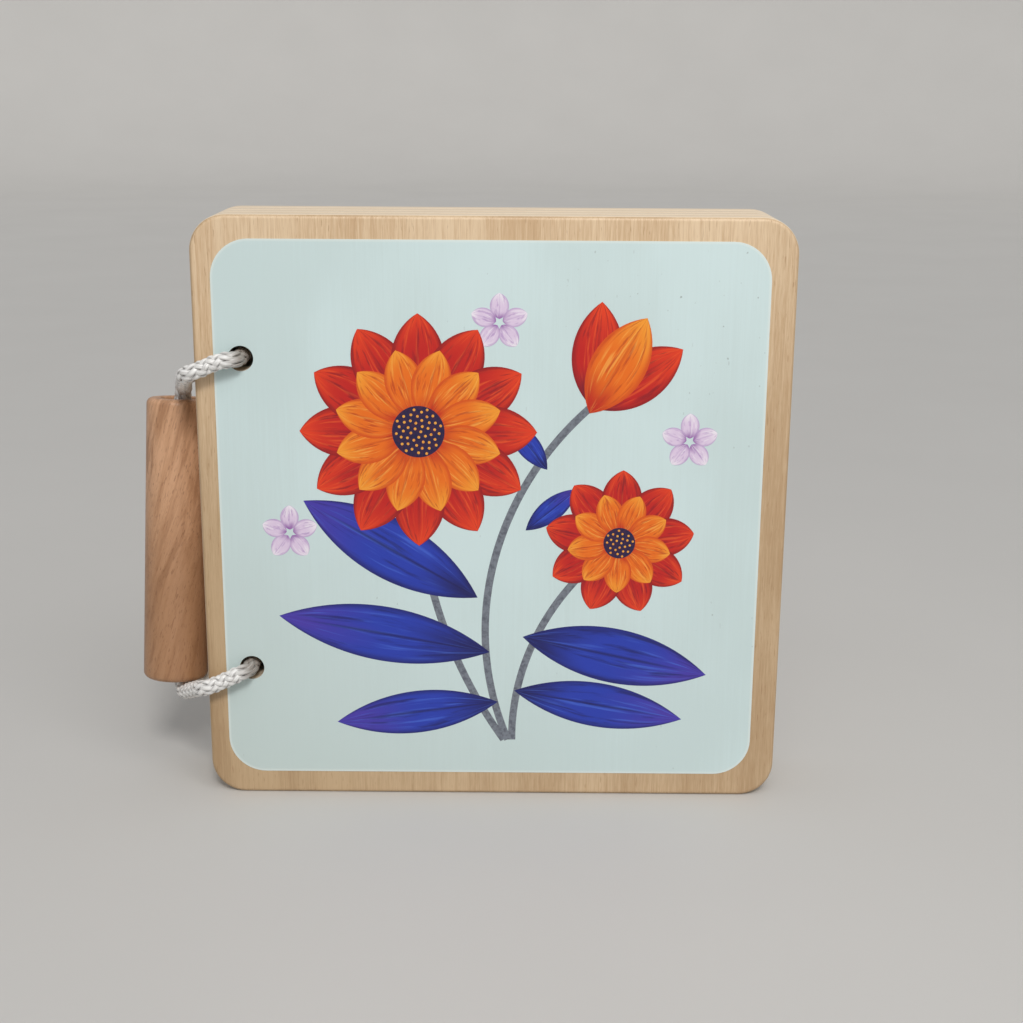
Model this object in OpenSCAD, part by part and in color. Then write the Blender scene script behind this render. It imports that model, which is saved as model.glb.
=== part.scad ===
// Board book of four plywood boards, laced on one loop of cord through a turned dowel.
// Millimetres. The book stands shut on its bottom edges. +X runs from the spine to the fore edge,
// +Z is up and the front cover faces -Y. The origin is the middle of the back cover's bottom edge.

/* [Boards] */
// Width of a board, from the spine edge to the fore edge
board_w = 140; // [120:1:180]
// Height of a board
board_h = 143; // [120:1:180]
// Thickness of a board
board_t = 6; // [4:0.5:9]
// Radius of a board's four corners
corner_r = 8.5; // [4:0.5:14]
// Radius of the sanded round over along a board's edges
edge_r = 1; // [0.5:0.1:1.6]
// Air between two boards of the shut book
board_gap = 0.4; // [0.4:0.1:1]

/* [Cord] */
// Diameter of the braided cord
cord_d = 4.2; // [3:0.1:4.4]
// Sides of the cord's tube
cord_sides = 10; // [8:1:12]

/* [Cord holes] */
// Play of the cord in a board's hole, on the diameter
hole_play = 1.8; // [1:0.1:3]
// Distance from the spine edge to the holes' axes
hole_inset = 11; // [8:0.5:16]
// Distance between the two holes' axes
hole_spacing = 76.6; // [60:0.2:90]

/* [Dowel] */
// Diameter of the dowel
dowel_d = 16; // [14:0.5:20]
// Length of the dowel
dowel_l = 71; // [50:1:90]
// Radius of the round over at the dowel's ends
dowel_edge_r = 1.5; // [0.5:0.1:2.5]
// Play of the two strands of cord in the dowel's bore, on the diameter
bore_play = 1; // [0.6:0.1:2]
// Gap between the dowel's top end and the boards' spine edges
dowel_gap = 0.3; // [0.2:0.1:2]
// Drop of the dowel's middle below the holes' middle
dowel_drop = 10.7; // [0:0.1:14]
// Set back of the dowel's middle behind the middle of the stack
dowel_back = 5.2; // [0:0.1:6]
// Lean of the dowel's top away from the front, in degrees
dowel_lean_back = 6.6; // [0:0.1:10]
// Lean of the dowel's top towards the boards, in degrees
dowel_lean_in = 2.1; // [0:0.1:4]

/* [Printed fields] */
// Thickness of the print on a board's face
print_t = 0.1; // [0.05:0.01:0.15]
// Bare margin along the spine edge
margin_spine = 4.7; // [3:0.1:8]
// Bare margin along the fore edge
margin_fore = 6.1; // [3:0.1:12]
// Bare margin along the top edge
margin_top = 5.5; // [3:0.1:12]
// Bare margin along the bottom edge
margin_bottom = 5.8; // [3:0.1:12]
// Radius of a printed field's corners
field_r = 9; // [4:0.5:14]

/* [Cover picture] */
// Height of the flower spray on the front cover
spray_h = 112; // [70:1:122]
// Petals in each ring of the large flower
large_petals = 12; // [8:1:14]
// Petals of the small flower
small_petals = 9; // [7:1:11]
// Red of the outer petals
petal_red = "crimson";
// Orange of the inner petals
petal_orange = "darkorange";
// Blue of the leaves
leaf_blue = "royalblue";

/* [Hidden] */
$fn = 64;

// The boards are counted from the back cover to the front cover
board_count = 4;
back_i = 0;
page_2_i = 1;
page_1_i = 2;
front_i = board_count - 1;
board_pitch = board_t + board_gap;
spine_x = -board_w / 2;
back_y = board_t / 2;
front_y = back_y - board_t - (board_count - 1) * board_pitch;
stack_mid_y = (front_y + back_y) / 2;
hole_d = cord_d + hole_play;
hole_x = spine_x + hole_inset;
hole_mid_z = board_h / 2;
hole_zs = [hole_mid_z - hole_spacing / 2, hole_mid_z + hole_spacing / 2];
field_w = board_w - margin_spine - margin_fore;
field_h = board_h - margin_top - margin_bottom;
field_x = (margin_spine - margin_fore) / 2;
field_z = board_h / 2 + (margin_bottom - margin_top) / 2;
bore_d = 2 * cord_d + bore_play;
dowel_top_x = spine_x - dowel_gap - dowel_d / 2;
dowel_x = dowel_top_x - dowel_l / 2 * cos(dowel_lean_back) * sin(dowel_lean_in);
dowel_y = stack_mid_y + dowel_back;
dowel_z = hole_mid_z - dowel_drop;
// How far a cutter runs past what it cuts
past = 1;

birch = "burlywood";
beech = "peru";
mint = "lightcyan";
lilac = "lavender";
slate = "slategray";
heart_navy = "midnightblue";

// Front face of a board, counted from the back cover
function board_front(i) = back_y - board_t - i * board_pitch;

// A point of the dowel's own frame, in which the bore runs along Z through the dowel's middle
function on_dowel(p) = let (
        b = dowel_lean_back, n = dowel_lean_in,
        y = p.y * cos(b) + p.z * sin(b), z = p.z * cos(b) - p.y * sin(b))
    [dowel_x + p.x * cos(n) + z * sin(n), dowel_y + y, dowel_z + z * cos(n) - p.x * sin(n)];
dowel_top = on_dowel([0, 0, dowel_l / 2]);
dowel_foot = on_dowel([0, 0, -dowel_l / 2]);

// The cord is one closed loop. Each stretch has its own points, chosen by hand from the place that it
// passes: a hole's mouth, the spine edge beside that hole, or the middle of one end of the dowel.
// Its ends are joined inside the bore.
strand_out = 1.7;
front_bore = [[strand_out, -strand_out, 0]];
front_top = [
    [1.7, -1.8, -0.5], [1.7, -1.9, 1.2], [1.8, -2.3, 2.4], [2, -3.1, 3.3], [2.2, -4.5, 3.9],
    [2.7, -7.2, 4.8], [3.1, -9.2, 5.5],
];
front_upper_edge = [
    [-3.8, 6.2, -6.3], [-3.1, 3.5, -5.4], [-2.5, 1, -4.5], [-1.6, -1, -3.7], [-0.2, -2.3, -3],
    [1.7, -2.7, -2.3], [3.9, -2.7, -1.3],
];
front_upper_mouth = [
    [-5, -2.7, -0.5], [-3, -2.7, 0], [-2, -2.5, 0.1], [-1.1, -1.9, 0.1], [-0.6, -1.1, 0], [-0.4, 0, 0],
];
back_upper_mouth = [
    [-0.4, 0, 0], [-0.6, 1.1, 0], [-1.1, 1.9, -0.1], [-2, 2.5, -0.3], [-3, 2.7, -0.6], [-5, 2.7, -1.4],
];
back_upper_edge = [
    [3.7, 2.7, -2.4], [1.5, 2.6, -3.5], [-0.4, 2.2, -4.6], [-2, 1.3, -5.6], [-4, 0.3, -6.9],
];
back_top = [[2.8, 3.1, 5.6], [1.6, 2.7, 4.5], [0.7, 2.5, 3.2], [0.2, 2.4, 1.6], [0, 2.3, -0.3]];
back_bore = [[-strand_out, strand_out, 0]];
back_foot = [
    [0.1, 2.35, 0.3], [0.1, 2.4, -1.2], [0.3, 2.7, -2.3], [0.7, 3.3, -3.1], [1.3, 4.1, -3.5],
    [2.2, 5.2, -3.6], [3.5, 6.8, -3.2],
];
back_lower_edge = [
    [-5.6, -2.7, -9.8], [-3.9, -0.9, -8.2], [-2.2, 0.9, -6.6], [-0.4, 2.1, -5.2], [1.5, 2.6, -4],
    [3.7, 2.7, -2.7],
];
back_lower_mouth = [
    [-5, 2.7, -1.5], [-3, 2.7, -0.6], [-2, 2.5, -0.2], [-1.1, 1.9, 0], [-0.6, 1.1, 0], [-0.4, 0, 0],
];
front_lower_mouth = [
    [-0.4, 0, 0], [-0.6, -1.1, 0], [-1.1, -1.9, -0.1], [-2, -2.5, -0.4], [-3, -2.7, -0.8],
    [-5, -2.7, -1.8],
];
front_lower_edge = [
    [3.9, -2.7, -2.8], [1.8, -2.7, -3.7], [-0.1, -2.3, -4.5], [-1.6, -1, -5.2], [-2.6, 1, -6],
    [-3.8, 3, -7],
];
front_foot = [
    [5.9, -8.8, -0.3], [4.9, -7.15, -1.1], [4.1, -5.85, -1.8], [3.3, -4.6, -2.3], [2.7, -3.65, -2.4],
    [2.15, -2.75, -2], [1.75, -2.1, -1.15], [1.6, -1.85, 0],
];

// Points of one stretch, moved to the place that they are counted from
function from(place, points) = [for (p = points) place + p];
cord_route = concat(
    [for (p = front_bore) on_dowel(p)],
    from(dowel_top, front_top),
    from([spine_x, front_y, hole_zs[1]], front_upper_edge),
    from([hole_x, front_y, hole_zs[1]], front_upper_mouth),
    from([hole_x, back_y, hole_zs[1]], back_upper_mouth),
    from([spine_x, back_y, hole_zs[1]], back_upper_edge),
    from(dowel_top, back_top),
    [for (p = back_bore) on_dowel(p)],
    from(dowel_foot, back_foot),
    from([spine_x, back_y, hole_zs[0]], back_lower_edge),
    from([hole_x, back_y, hole_zs[0]], back_lower_mouth),
    from([hole_x, front_y, hole_zs[0]], front_lower_mouth),
    from([spine_x, front_y, hole_zs[0]], front_lower_edge),
    from(dowel_foot, front_foot)
);

// Unit vector along v
function unit(v) = v / norm(v);
// Vector u without its part along the unit vector t
function across(u, t) = unit(u - (u * t) * t);
// Direction of a closed route at point i
function heading(p, i) =
    unit(unit(p[(i + 1) % len(p)] - p[i]) + unit(p[i] - p[(i + len(p) - 1) % len(p)]));
// Side vectors of the rings along a closed route, each carried on from the one before it
function carried(p, i, sides) = i == len(p) ? sides
    : carried(p, i + 1, concat(sides, [across(sides[i - 1], heading(p, i))]));
function ring_sides(p) = carried(p, 1, [across([1, 0, 0], heading(p, 0))]);
// Points of one ring of radius r about c, across t, from the side vector u
function ring(c, t, u, r, n) =
    [for (k = [0 : n - 1]) let (a = 360 * k / n) c + r * (cos(a) * u + sin(a) * cross(t, u))];

// Closed tube of radius r and n sides along the route p
module closed_tube(p, r, n) {
    count = len(p);
    sides = ring_sides(p);
    // The ring count can leave the last ring turned against the first, so the joining band starts at the
    // point of the first ring that lies nearest
    rings = [for (i = [0 : count - 1]) ring(p[i], heading(p, i), sides[i], r, n)];
    turn = cross(heading(p, 0), sides[0]);
    last = sides[count - 1];
    slip = round(atan2(last * turn, last * sides[0]) / 360 * n);
    points = [for (one = rings) each one];
    function shift(i) = i == count - 1 ? slip + n : 0;
    faces = [for (i = [0 : count - 1]) for (k = [0 : n - 1]) let (
            a = i * n, b = ((i + 1) % count) * n, s = shift(i),
            k2 = (k + 1) % n, m = (k + s) % n, m2 = (k2 + s) % n)
        each [[a + k, b + m, a + k2], [a + k2, b + m, b + m2]]];
    polyhedron(points = points, faces = faces, convexity = 8);
}

// Section of a board's edge: d deep from the flat of the face to the rim, rounded over on both faces
module edge_section(d) {
    square([d - edge_r, board_t]);
    translate([0, edge_r]) square([d, board_t - 2 * edge_r]);
    for (y = [edge_r, board_t - edge_r]) translate([d - edge_r, y]) circle(edge_r);
}

// A blank board lying on its back, its middle at the origin and its back face at z = 0
module board_blank() {
    inner_w = board_w - 2 * corner_r;
    inner_h = board_h - 2 * corner_r;
    translate([-inner_w / 2, -inner_h / 2, 0]) cube([inner_w, inner_h, board_t]);
    for (side = [0, 1]) {
        rotate([90, 0, 180 * side]) translate([inner_w / 2, 0, -inner_h / 2])
            linear_extrude(inner_h) edge_section(corner_r);
        rotate([90, 0, 90 + 180 * side]) translate([inner_h / 2, 0, -inner_w / 2])
            linear_extrude(inner_w) edge_section(corner_r);
    }
    for (sx = [-1, 1], sy = [-1, 1])
        translate([sx * inner_w / 2, sy * inner_h / 2, 0])
            rotate([0, 0, sx > 0 ? (sy > 0 ? 0 : -90) : (sy > 0 ? 90 : 180)])
                rotate_extrude(angle = 90) edge_section(corner_r);
}

// Stands a drawing made in the XY plane upright, with its +Z towards the front and its floor at y
module stand(y) {
    translate([0, y, 0]) rotate([90, 0, 0]) children();
}

// The two cord holes, as cutters along the depth of the book
module cord_holes() {
    for (z = hole_zs)
        translate([hole_x, back_y + past, z]) rotate([90, 0, 0])
            cylinder(d = hole_d, h = back_y - front_y + 2 * past);
}

// One board of the book, counted from the back cover
module board(i) {
    color(birch) difference() {
        stand(board_front(i) + board_t) translate([0, board_h / 2, 0]) board_blank();
        cord_holes();
    }
}

// Rectangle with round corners about the origin
module round_rectangle(w, h, r) {
    square([w - 2 * r, h], center = true);
    square([w, h - 2 * r], center = true);
    for (sx = [-1, 1], sy = [-1, 1])
        translate([sx * (w / 2 - r), sy * (h / 2 - r)]) circle(r);
}

// Printed field on the face at y. On a front face it stands out towards the front
module printed_field(y, front) {
    color(mint) difference() {
        stand(front ? y : y + print_t)
            translate([field_x, field_z, 0]) linear_extrude(print_t)
                round_rectangle(field_w, field_h, field_r);
        cord_holes();
    }
}

// Turned dowel with a bore along its axis and rounded ends
module spine_dowel() {
    r = dowel_d / 2;
    h = dowel_l / 2;
    color(beech)
        translate([dowel_x, dowel_y, dowel_z]) rotate([-dowel_lean_back, dowel_lean_in, 0])
            rotate_extrude() difference() {
                union() {
                    translate([0, -h]) square([r - dowel_edge_r, dowel_l]);
                    translate([0, dowel_edge_r - h]) square([r, dowel_l - 2 * dowel_edge_r]);
                    for (z = [-1, 1])
                        translate([r - dowel_edge_r, z * (h - dowel_edge_r)]) circle(dowel_edge_r);
                }
                translate([-r, -h - past]) square([r + bore_d / 2, dowel_l + 2 * past]);
            }
}

// The loop of cord that laces the boards and the dowel
module binding_cord() {
    color("whitesmoke") closed_tube(cord_route, cord_d / 2, cord_sides);
}

// Leaf or petal pointed at both ends, from its root at the origin along +X
module blade(l, w) {
    // Radius of the two arcs that meet at the points
    r = (l * l / 4 + w * w / 4) / w;
    translate([l / 2, 0]) intersection() {
        translate([0, r - w / 2]) circle(r, $fn = 96);
        translate([0, w / 2 - r]) circle(r, $fn = 96);
    }
}

// Ring of n blades that start r from the middle
module blade_ring(n, r, l, w, turn = 0) {
    for (i = [0 : n - 1])
        rotate([0, 0, turn + 360 * i / n]) translate([r, 0]) blade(l, w);
}

// Places one layer of the cover's picture, drawn about the field's middle
module cover_layer() {
    stand(front_y - print_t) translate([field_x, field_z, 0]) scale(spray_scale) children();
}

// The spray is drawn on a sheet of its own, 112 high, and then brought to its real height
sheet_h = 112;
spray_scale = spray_h / sheet_h;
layer_t = print_t / spray_scale;
stem_w = 1.8;
// Middles of the large and the small flower, and the foot of the bell flower
large_at = [-17, 21];
small_at = [31, -6];
bell_at = [24, 27];

// Flower head seen from the front: a ring of n petals, from r0 to the tips at r1, on a disc
module flower_head(n, r0, r1, w, disc_r, turn = 0) {
    blade_ring(n, r0, r1 - r0, w, turn);
    circle(disc_r);
}

module petals_red_2d() {
    translate(large_at) flower_head(large_petals, 6, 28, 12.5, 14);
    translate(small_at) flower_head(small_petals, 3.5, 18, 9.6, 9, 8);
    translate(bell_at) {
        rotate([0, 0, 86]) blade(25, 12);
        rotate([0, 0, 34]) blade(25, 12);
    }
}

module petals_orange_2d() {
    translate(large_at) flower_head(large_petals, 4, 20, 9.2, 9, 180 / large_petals);
    translate(small_at) flower_head(small_petals, 2.5, 12.5, 6.6, 6, 8 + 180 / small_petals);
    translate(bell_at) rotate([0, 0, 60]) translate([-1.5, 0]) blade(26, 13);
}

module hearts_2d() {
    translate(large_at) circle(6.2);
    translate(small_at) circle(3.8);
}

module leaves_2d() {
    translate([-3, -20]) rotate([0, 0, 150]) blade(48, 15);
    translate([0, -34]) rotate([0, 0, 170]) blade(52, 14);
    translate([2, -47]) rotate([0, 0, 188]) blade(40, 11);
    translate([8, -30]) rotate([0, 0, -12]) blade(46, 14);
    translate([6, -44]) rotate([0, 0, -10]) blade(42, 11.5);
    translate([13.5, 12]) rotate([0, 0, 128]) blade(15, 5.5);
    translate([8.5, -3]) rotate([0, 0, 40]) blade(16, 5.5);
}

module blossoms_2d() {
    for (at = [[-48, -4], [2, 47], [47, 19]])
        translate(at) blade_ring(5, 0.8, 6, 4.4, 18);
}

// Stem from p to q as an arc of radius r that bulges to the left of the way from p to q
module stem(p, q, r) {
    way = unit(q - p);
    half = norm(q - p) / 2;
    c = (p + q) / 2 + sqrt(r * r - half * half) * [way.y, -way.x];
    start = atan2(q.y - c.y, q.x - c.x);
    sweep = 2 * asin(half / r);
    translate(c) rotate([0, 0, start]) rotate_extrude(angle = sweep, $fn = 180)
        translate([r - stem_w / 2, 0]) square([stem_w, layer_t]);
}

module stems() {
    stem([3.5, -57], [-17, 21], 120);
    stem([5.5, -57], [31, -6], 62);
    stem([4.5, -57], [24.5, 28], 75);
}

module layer_solid() {
    linear_extrude(layer_t) children();
}

module layer_cutter() {
    translate([0, 0, -past]) linear_extrude(layer_t + 2 * past) children();
}

// Each layer is cut by those printed over it, so no two layers share a place
module cover_hearts() {
    color(heart_navy) cover_layer() layer_solid() hearts_2d();
}

module cover_petals_orange() {
    color(petal_orange) cover_layer() difference() {
        layer_solid() petals_orange_2d();
        layer_cutter() hearts_2d();
    }
}

module cover_petals_red() {
    color(petal_red) cover_layer() difference() {
        layer_solid() petals_red_2d();
        layer_cutter() { petals_orange_2d(); hearts_2d(); }
    }
}

module cover_blossoms() {
    color(lilac) cover_layer() difference() {
        layer_solid() blossoms_2d();
        layer_cutter() { petals_red_2d(); petals_orange_2d(); }
    }
}

module cover_leaves() {
    color(leaf_blue) cover_layer() difference() {
        layer_solid() leaves_2d();
        layer_cutter() { petals_red_2d(); petals_orange_2d(); hearts_2d(); blossoms_2d(); }
    }
}

module cover_stems() {
    color(slate) cover_layer() difference() {
        stems();
        layer_cutter() {
            leaves_2d(); petals_red_2d(); petals_orange_2d(); hearts_2d(); blossoms_2d();
        }
    }
}

board(front_i);  // front_cover
board(page_1_i);  // page_board_1
board(page_2_i);  // page_board_2
board(back_i);  // back_cover
spine_dowel();
binding_cord();
printed_field(board_front(front_i), true);  // cover_field
cover_leaves();
cover_stems();
cover_petals_red();
cover_petals_orange();
cover_hearts();
cover_blossoms();
printed_field(board_front(front_i) + board_t, false);  // inner_cover_field
printed_field(board_front(page_1_i), true);  // page_1_front_field
printed_field(board_front(page_1_i) + board_t, false);  // page_1_back_field
printed_field(board_front(page_2_i), true);  // page_2_front_field
printed_field(board_front(page_2_i) + board_t, false);  // page_2_back_field
printed_field(board_front(back_i), true);  // inner_back_field
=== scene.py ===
"""Looks of a laced board book.

Four plywood boards with printed faces, bound by one braided cord that also runs through a turned dowel.
Lengths are in millimetres unless a name or a docstring says metres.
"""

import logging
import math
from dataclasses import dataclass, field
from enum import Enum
from typing import Any, Iterable, Sequence

import bpy
import numpy as np
from mathutils import Matrix, Vector


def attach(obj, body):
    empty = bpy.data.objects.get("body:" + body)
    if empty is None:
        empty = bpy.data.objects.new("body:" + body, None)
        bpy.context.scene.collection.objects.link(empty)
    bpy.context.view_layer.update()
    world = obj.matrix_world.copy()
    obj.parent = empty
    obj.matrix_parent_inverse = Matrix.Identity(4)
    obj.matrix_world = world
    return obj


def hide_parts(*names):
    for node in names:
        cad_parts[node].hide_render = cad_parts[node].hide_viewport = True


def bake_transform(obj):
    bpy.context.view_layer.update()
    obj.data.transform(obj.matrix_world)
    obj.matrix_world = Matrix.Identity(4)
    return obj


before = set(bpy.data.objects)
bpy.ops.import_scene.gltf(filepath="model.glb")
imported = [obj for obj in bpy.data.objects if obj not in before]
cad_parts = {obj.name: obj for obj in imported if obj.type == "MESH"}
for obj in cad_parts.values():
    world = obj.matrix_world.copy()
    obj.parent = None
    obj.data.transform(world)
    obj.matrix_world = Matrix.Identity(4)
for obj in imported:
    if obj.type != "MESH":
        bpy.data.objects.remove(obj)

LOG = logging.getLogger("board_book")
MM = 0.001
TAU = 2 * math.pi
GOLDEN_ANGLE = math.radians(137.508)

Rgb = tuple[float, float, float]
Triple = tuple[float, float, float]


class Body(str, Enum):
    """Bodies of the model that the pieces move with."""

    BACK_BOARD = "back_board"
    REAR_PAGE = "rear_page"
    FRONT_PAGE = "front_page"
    FRONT_BOARD = "front_board"
    DOWEL = "dowel"


CHAIN = (Body.BACK_BOARD, Body.REAR_PAGE, Body.FRONT_PAGE, Body.FRONT_BOARD)


class Slot(str, Enum):
    """Material slots of the record."""

    BIRCH = "birch_board"
    BEECH = "beech_dowel"
    CORD = "white_cord"
    MINT = "print_mint"
    RED = "print_red"
    ORANGE = "print_orange"
    BLUE = "print_blue"
    NAVY = "print_navy"
    GREY = "print_grey"
    LILAC = "print_lilac"


@dataclass(frozen=True)
class BookSizes:
    """Sizes of the book, as the solids have them, in millimetres and degrees."""

    board_w: float = 140.0
    board_h: float = 143.0
    board_t: float = 6.0
    board_gap: float = 0.4
    back_y: float = 3.0
    hole_inset: float = 11.0
    hole_spacing: float = 76.6
    cord_d: float = 4.2
    dowel_d: float = 16.0
    dowel_l: float = 71.0
    dowel_edge_r: float = 1.5
    bore_d: float = 9.4
    dowel_gap: float = 0.3
    dowel_drop: float = 10.7
    dowel_back: float = 5.2
    dowel_lean_back: float = 6.6
    dowel_lean_in: float = 2.1
    print_t: float = 0.1
    margin_spine: float = 4.7
    margin_fore: float = 6.1
    margin_top: float = 5.5
    margin_bottom: float = 5.8
    field_r: float = 9.0

    @property
    def spine_x(self) -> float:
        """X of the boards' spine edges."""
        return -self.board_w / 2

    @property
    def pitch(self) -> float:
        """Depth of one board and one gap."""
        return self.board_t + self.board_gap

    @property
    def front_y(self) -> float:
        """Y of the front cover's outer face."""
        return self.board_front(3)

    @property
    def hole_x(self) -> float:
        """X of the cord holes' axes."""
        return self.spine_x + self.hole_inset

    @property
    def hole_zs(self) -> tuple[float, float]:
        """Heights of the lower and the upper hole."""
        mid = self.board_h / 2
        return mid - self.hole_spacing / 2, mid + self.hole_spacing / 2

    @property
    def field_size(self) -> tuple[float, float]:
        """Width and height of a printed field."""
        return (
            self.board_w - self.margin_spine - self.margin_fore,
            self.board_h - self.margin_top - self.margin_bottom,
        )

    @property
    def field_middle(self) -> tuple[float, float]:
        """X and Z of a printed field's middle."""
        return (
            (self.margin_spine - self.margin_fore) / 2,
            self.board_h / 2 + (self.margin_bottom - self.margin_top) / 2,
        )

    def board_front(self, index: int) -> float:
        """Y of a board's front face.

        Args:
            index: The board, counted from the back cover.

        Returns:
            The face's Y.
        """
        return self.back_y - self.board_t - index * self.pitch

    def on_dowel(self, point: Sequence[float]) -> np.ndarray:
        """Carries a point from the dowel's own frame, with the bore along Z, to the book's.

        Args:
            point: X, Y and Z in the dowel's frame.

        Returns:
            The point in the book's frame.
        """
        back, lean = math.radians(self.dowel_lean_back), math.radians(self.dowel_lean_in)
        top_x = self.spine_x - self.dowel_gap - self.dowel_d / 2
        x0 = top_x - self.dowel_l / 2 * math.cos(back) * math.sin(lean)
        y0 = (self.front_y + self.back_y) / 2 + self.dowel_back
        z0 = self.board_h / 2 - self.dowel_drop
        y = point[1] * math.cos(back) + point[2] * math.sin(back)
        z = point[2] * math.cos(back) - point[1] * math.sin(back)
        return np.array(
            [
                x0 + point[0] * math.cos(lean) + z * math.sin(lean),
                y0 + y,
                z0 + z * math.cos(lean) - point[0] * math.sin(lean),
            ]
        )


def srgb(red: float, green: float, blue: float) -> Rgb:
    """Turns 0 to 255 screen values into a linear colour."""

    def linear(value: float) -> float:
        """One channel."""
        share = value / 255
        return share / 12.92 if share <= 0.04045 else ((share + 0.055) / 1.055) ** 2.4

    return linear(red), linear(green), linear(blue)


class Value:
    """A socket or number that Python operators turn into Math nodes."""

    def __init__(self, tree: "Tree", socket: Any) -> None:
        """Keeps the tree and the socket."""
        self.tree = tree
        self.socket = socket

    def _math(self, operation: str, *others: Any) -> "Value":
        """Adds one Math node on this value and the others."""
        values = {i: v for i, v in enumerate((self, *others))}
        return self.tree.out("ShaderNodeMath", {"operation": operation}, values)

    def _reflected(self, operation: str, other: Any) -> "Value":
        """Adds one Math node with the other value first."""
        return self.tree.out("ShaderNodeMath", {"operation": operation}, {0: other, 1: self})

    def __add__(self, other: Any) -> "Value":
        """Self plus other."""
        return self._math("ADD", other)

    def __radd__(self, other: Any) -> "Value":
        """Other plus self."""
        return self._reflected("ADD", other)

    def __sub__(self, other: Any) -> "Value":
        """Self minus other."""
        return self._math("SUBTRACT", other)

    def __rsub__(self, other: Any) -> "Value":
        """Other minus self."""
        return self._reflected("SUBTRACT", other)

    def __mul__(self, other: Any) -> "Value":
        """Self times other."""
        return self._math("MULTIPLY", other)

    def __rmul__(self, other: Any) -> "Value":
        """Other times self."""
        return self._reflected("MULTIPLY", other)

    def __truediv__(self, other: Any) -> "Value":
        """Self over other."""
        return self._math("DIVIDE", other)

    def __rtruediv__(self, other: Any) -> "Value":
        """Other over self."""
        return self._reflected("DIVIDE", other)

    def __abs__(self) -> "Value":
        """Size without sign."""
        return self._math("ABSOLUTE")

    def floor(self) -> "Value":
        """Whole number below."""
        return self._math("FLOOR")

    def fract(self) -> "Value":
        """Part after the point."""
        return self._math("FRACT")

    def sin(self) -> "Value":
        """Sine of radians."""
        return self._math("SINE")

    def cos(self) -> "Value":
        """Cosine of radians."""
        return self._math("COSINE")

    def sqrt(self) -> "Value":
        """Square root."""
        return self._math("SQRT")

    def modulo(self, other: Any) -> "Value":
        """Rest after division."""
        return self._math("FLOORED_MODULO", other)

    def at_least(self, other: Any) -> "Value":
        """The larger of the two."""
        return self._math("MAXIMUM", other)

    def at_most(self, other: Any) -> "Value":
        """The smaller of the two."""
        return self._math("MINIMUM", other)

    def above(self, other: Any) -> "Value":
        """1 where self is greater than other, and 0 elsewhere."""
        return self._math("GREATER_THAN", other)

    def ramp(self, low: float, high: float) -> "Value":
        """Rises smoothly from 0 at low to 1 at high, or falls where low is above high.

        Args:
            low: Value that gives 0.
            high: Value that gives 1.

        Returns:
            The eased value.
        """
        if low > high:
            return 1 - self.ramp(high, low)
        return self.tree.out(
            "ShaderNodeMapRange", {"interpolation_type": "SMOOTHSTEP"}, {0: self, 1: low, 2: high}
        )


class Tree:
    """Builds nodes in a node tree."""

    def __init__(self, tree: Any) -> None:
        """Keeps the tree."""
        self.tree = tree

    def node(self, kind: str, settings: dict[str, Any] | None = None,
             inputs: dict[Any, Any] | None = None) -> Any:
        """Adds one node.

        Args:
            kind: The node's type.
            settings: Properties that are set first.
            inputs: Values or links of sockets, by name or index.

        Returns:
            The node.
        """
        made = self.tree.nodes.new(kind)
        for key, value in (settings or {}).items():
            setattr(made, key, value)
        for key, value in (inputs or {}).items():
            self.feed(made.inputs[key], value)
        return made

    def feed(self, socket: Any, value: Any) -> None:
        """Links or sets one socket."""
        if isinstance(value, Value):
            value = value.socket
        if isinstance(value, bpy.types.NodeSocket):
            self.tree.links.new(value, socket)
        else:
            socket.default_value = value

    def out(self, kind: str, settings: dict[str, Any] | None = None, inputs: dict[Any, Any] | None = None,
            output: Any = 0) -> Value:
        """Adds one node and wraps one of its outputs."""
        return Value(self, self.node(kind, settings, inputs).outputs[output])

    def vector(self, operation: str, *values: Any, scale: Any = None) -> Value:
        """Adds one Vector Math node."""
        inputs = dict(enumerate(values))
        if scale is not None:
            inputs[3] = scale
        return self.out("ShaderNodeVectorMath", {"operation": operation}, inputs)

    def combine(self, x: Any, y: Any, z: Any) -> Value:
        """Joins three values to a vector."""
        return self.out("ShaderNodeCombineXYZ", None, {0: x, 1: y, 2: z})

    def split(self, vector: Value) -> tuple[Value, Value, Value]:
        """Takes a vector's three values."""
        made = self.node("ShaderNodeSeparateXYZ", None, {0: vector})
        return Value(self, made.outputs[0]), Value(self, made.outputs[1]), Value(self, made.outputs[2])


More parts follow.
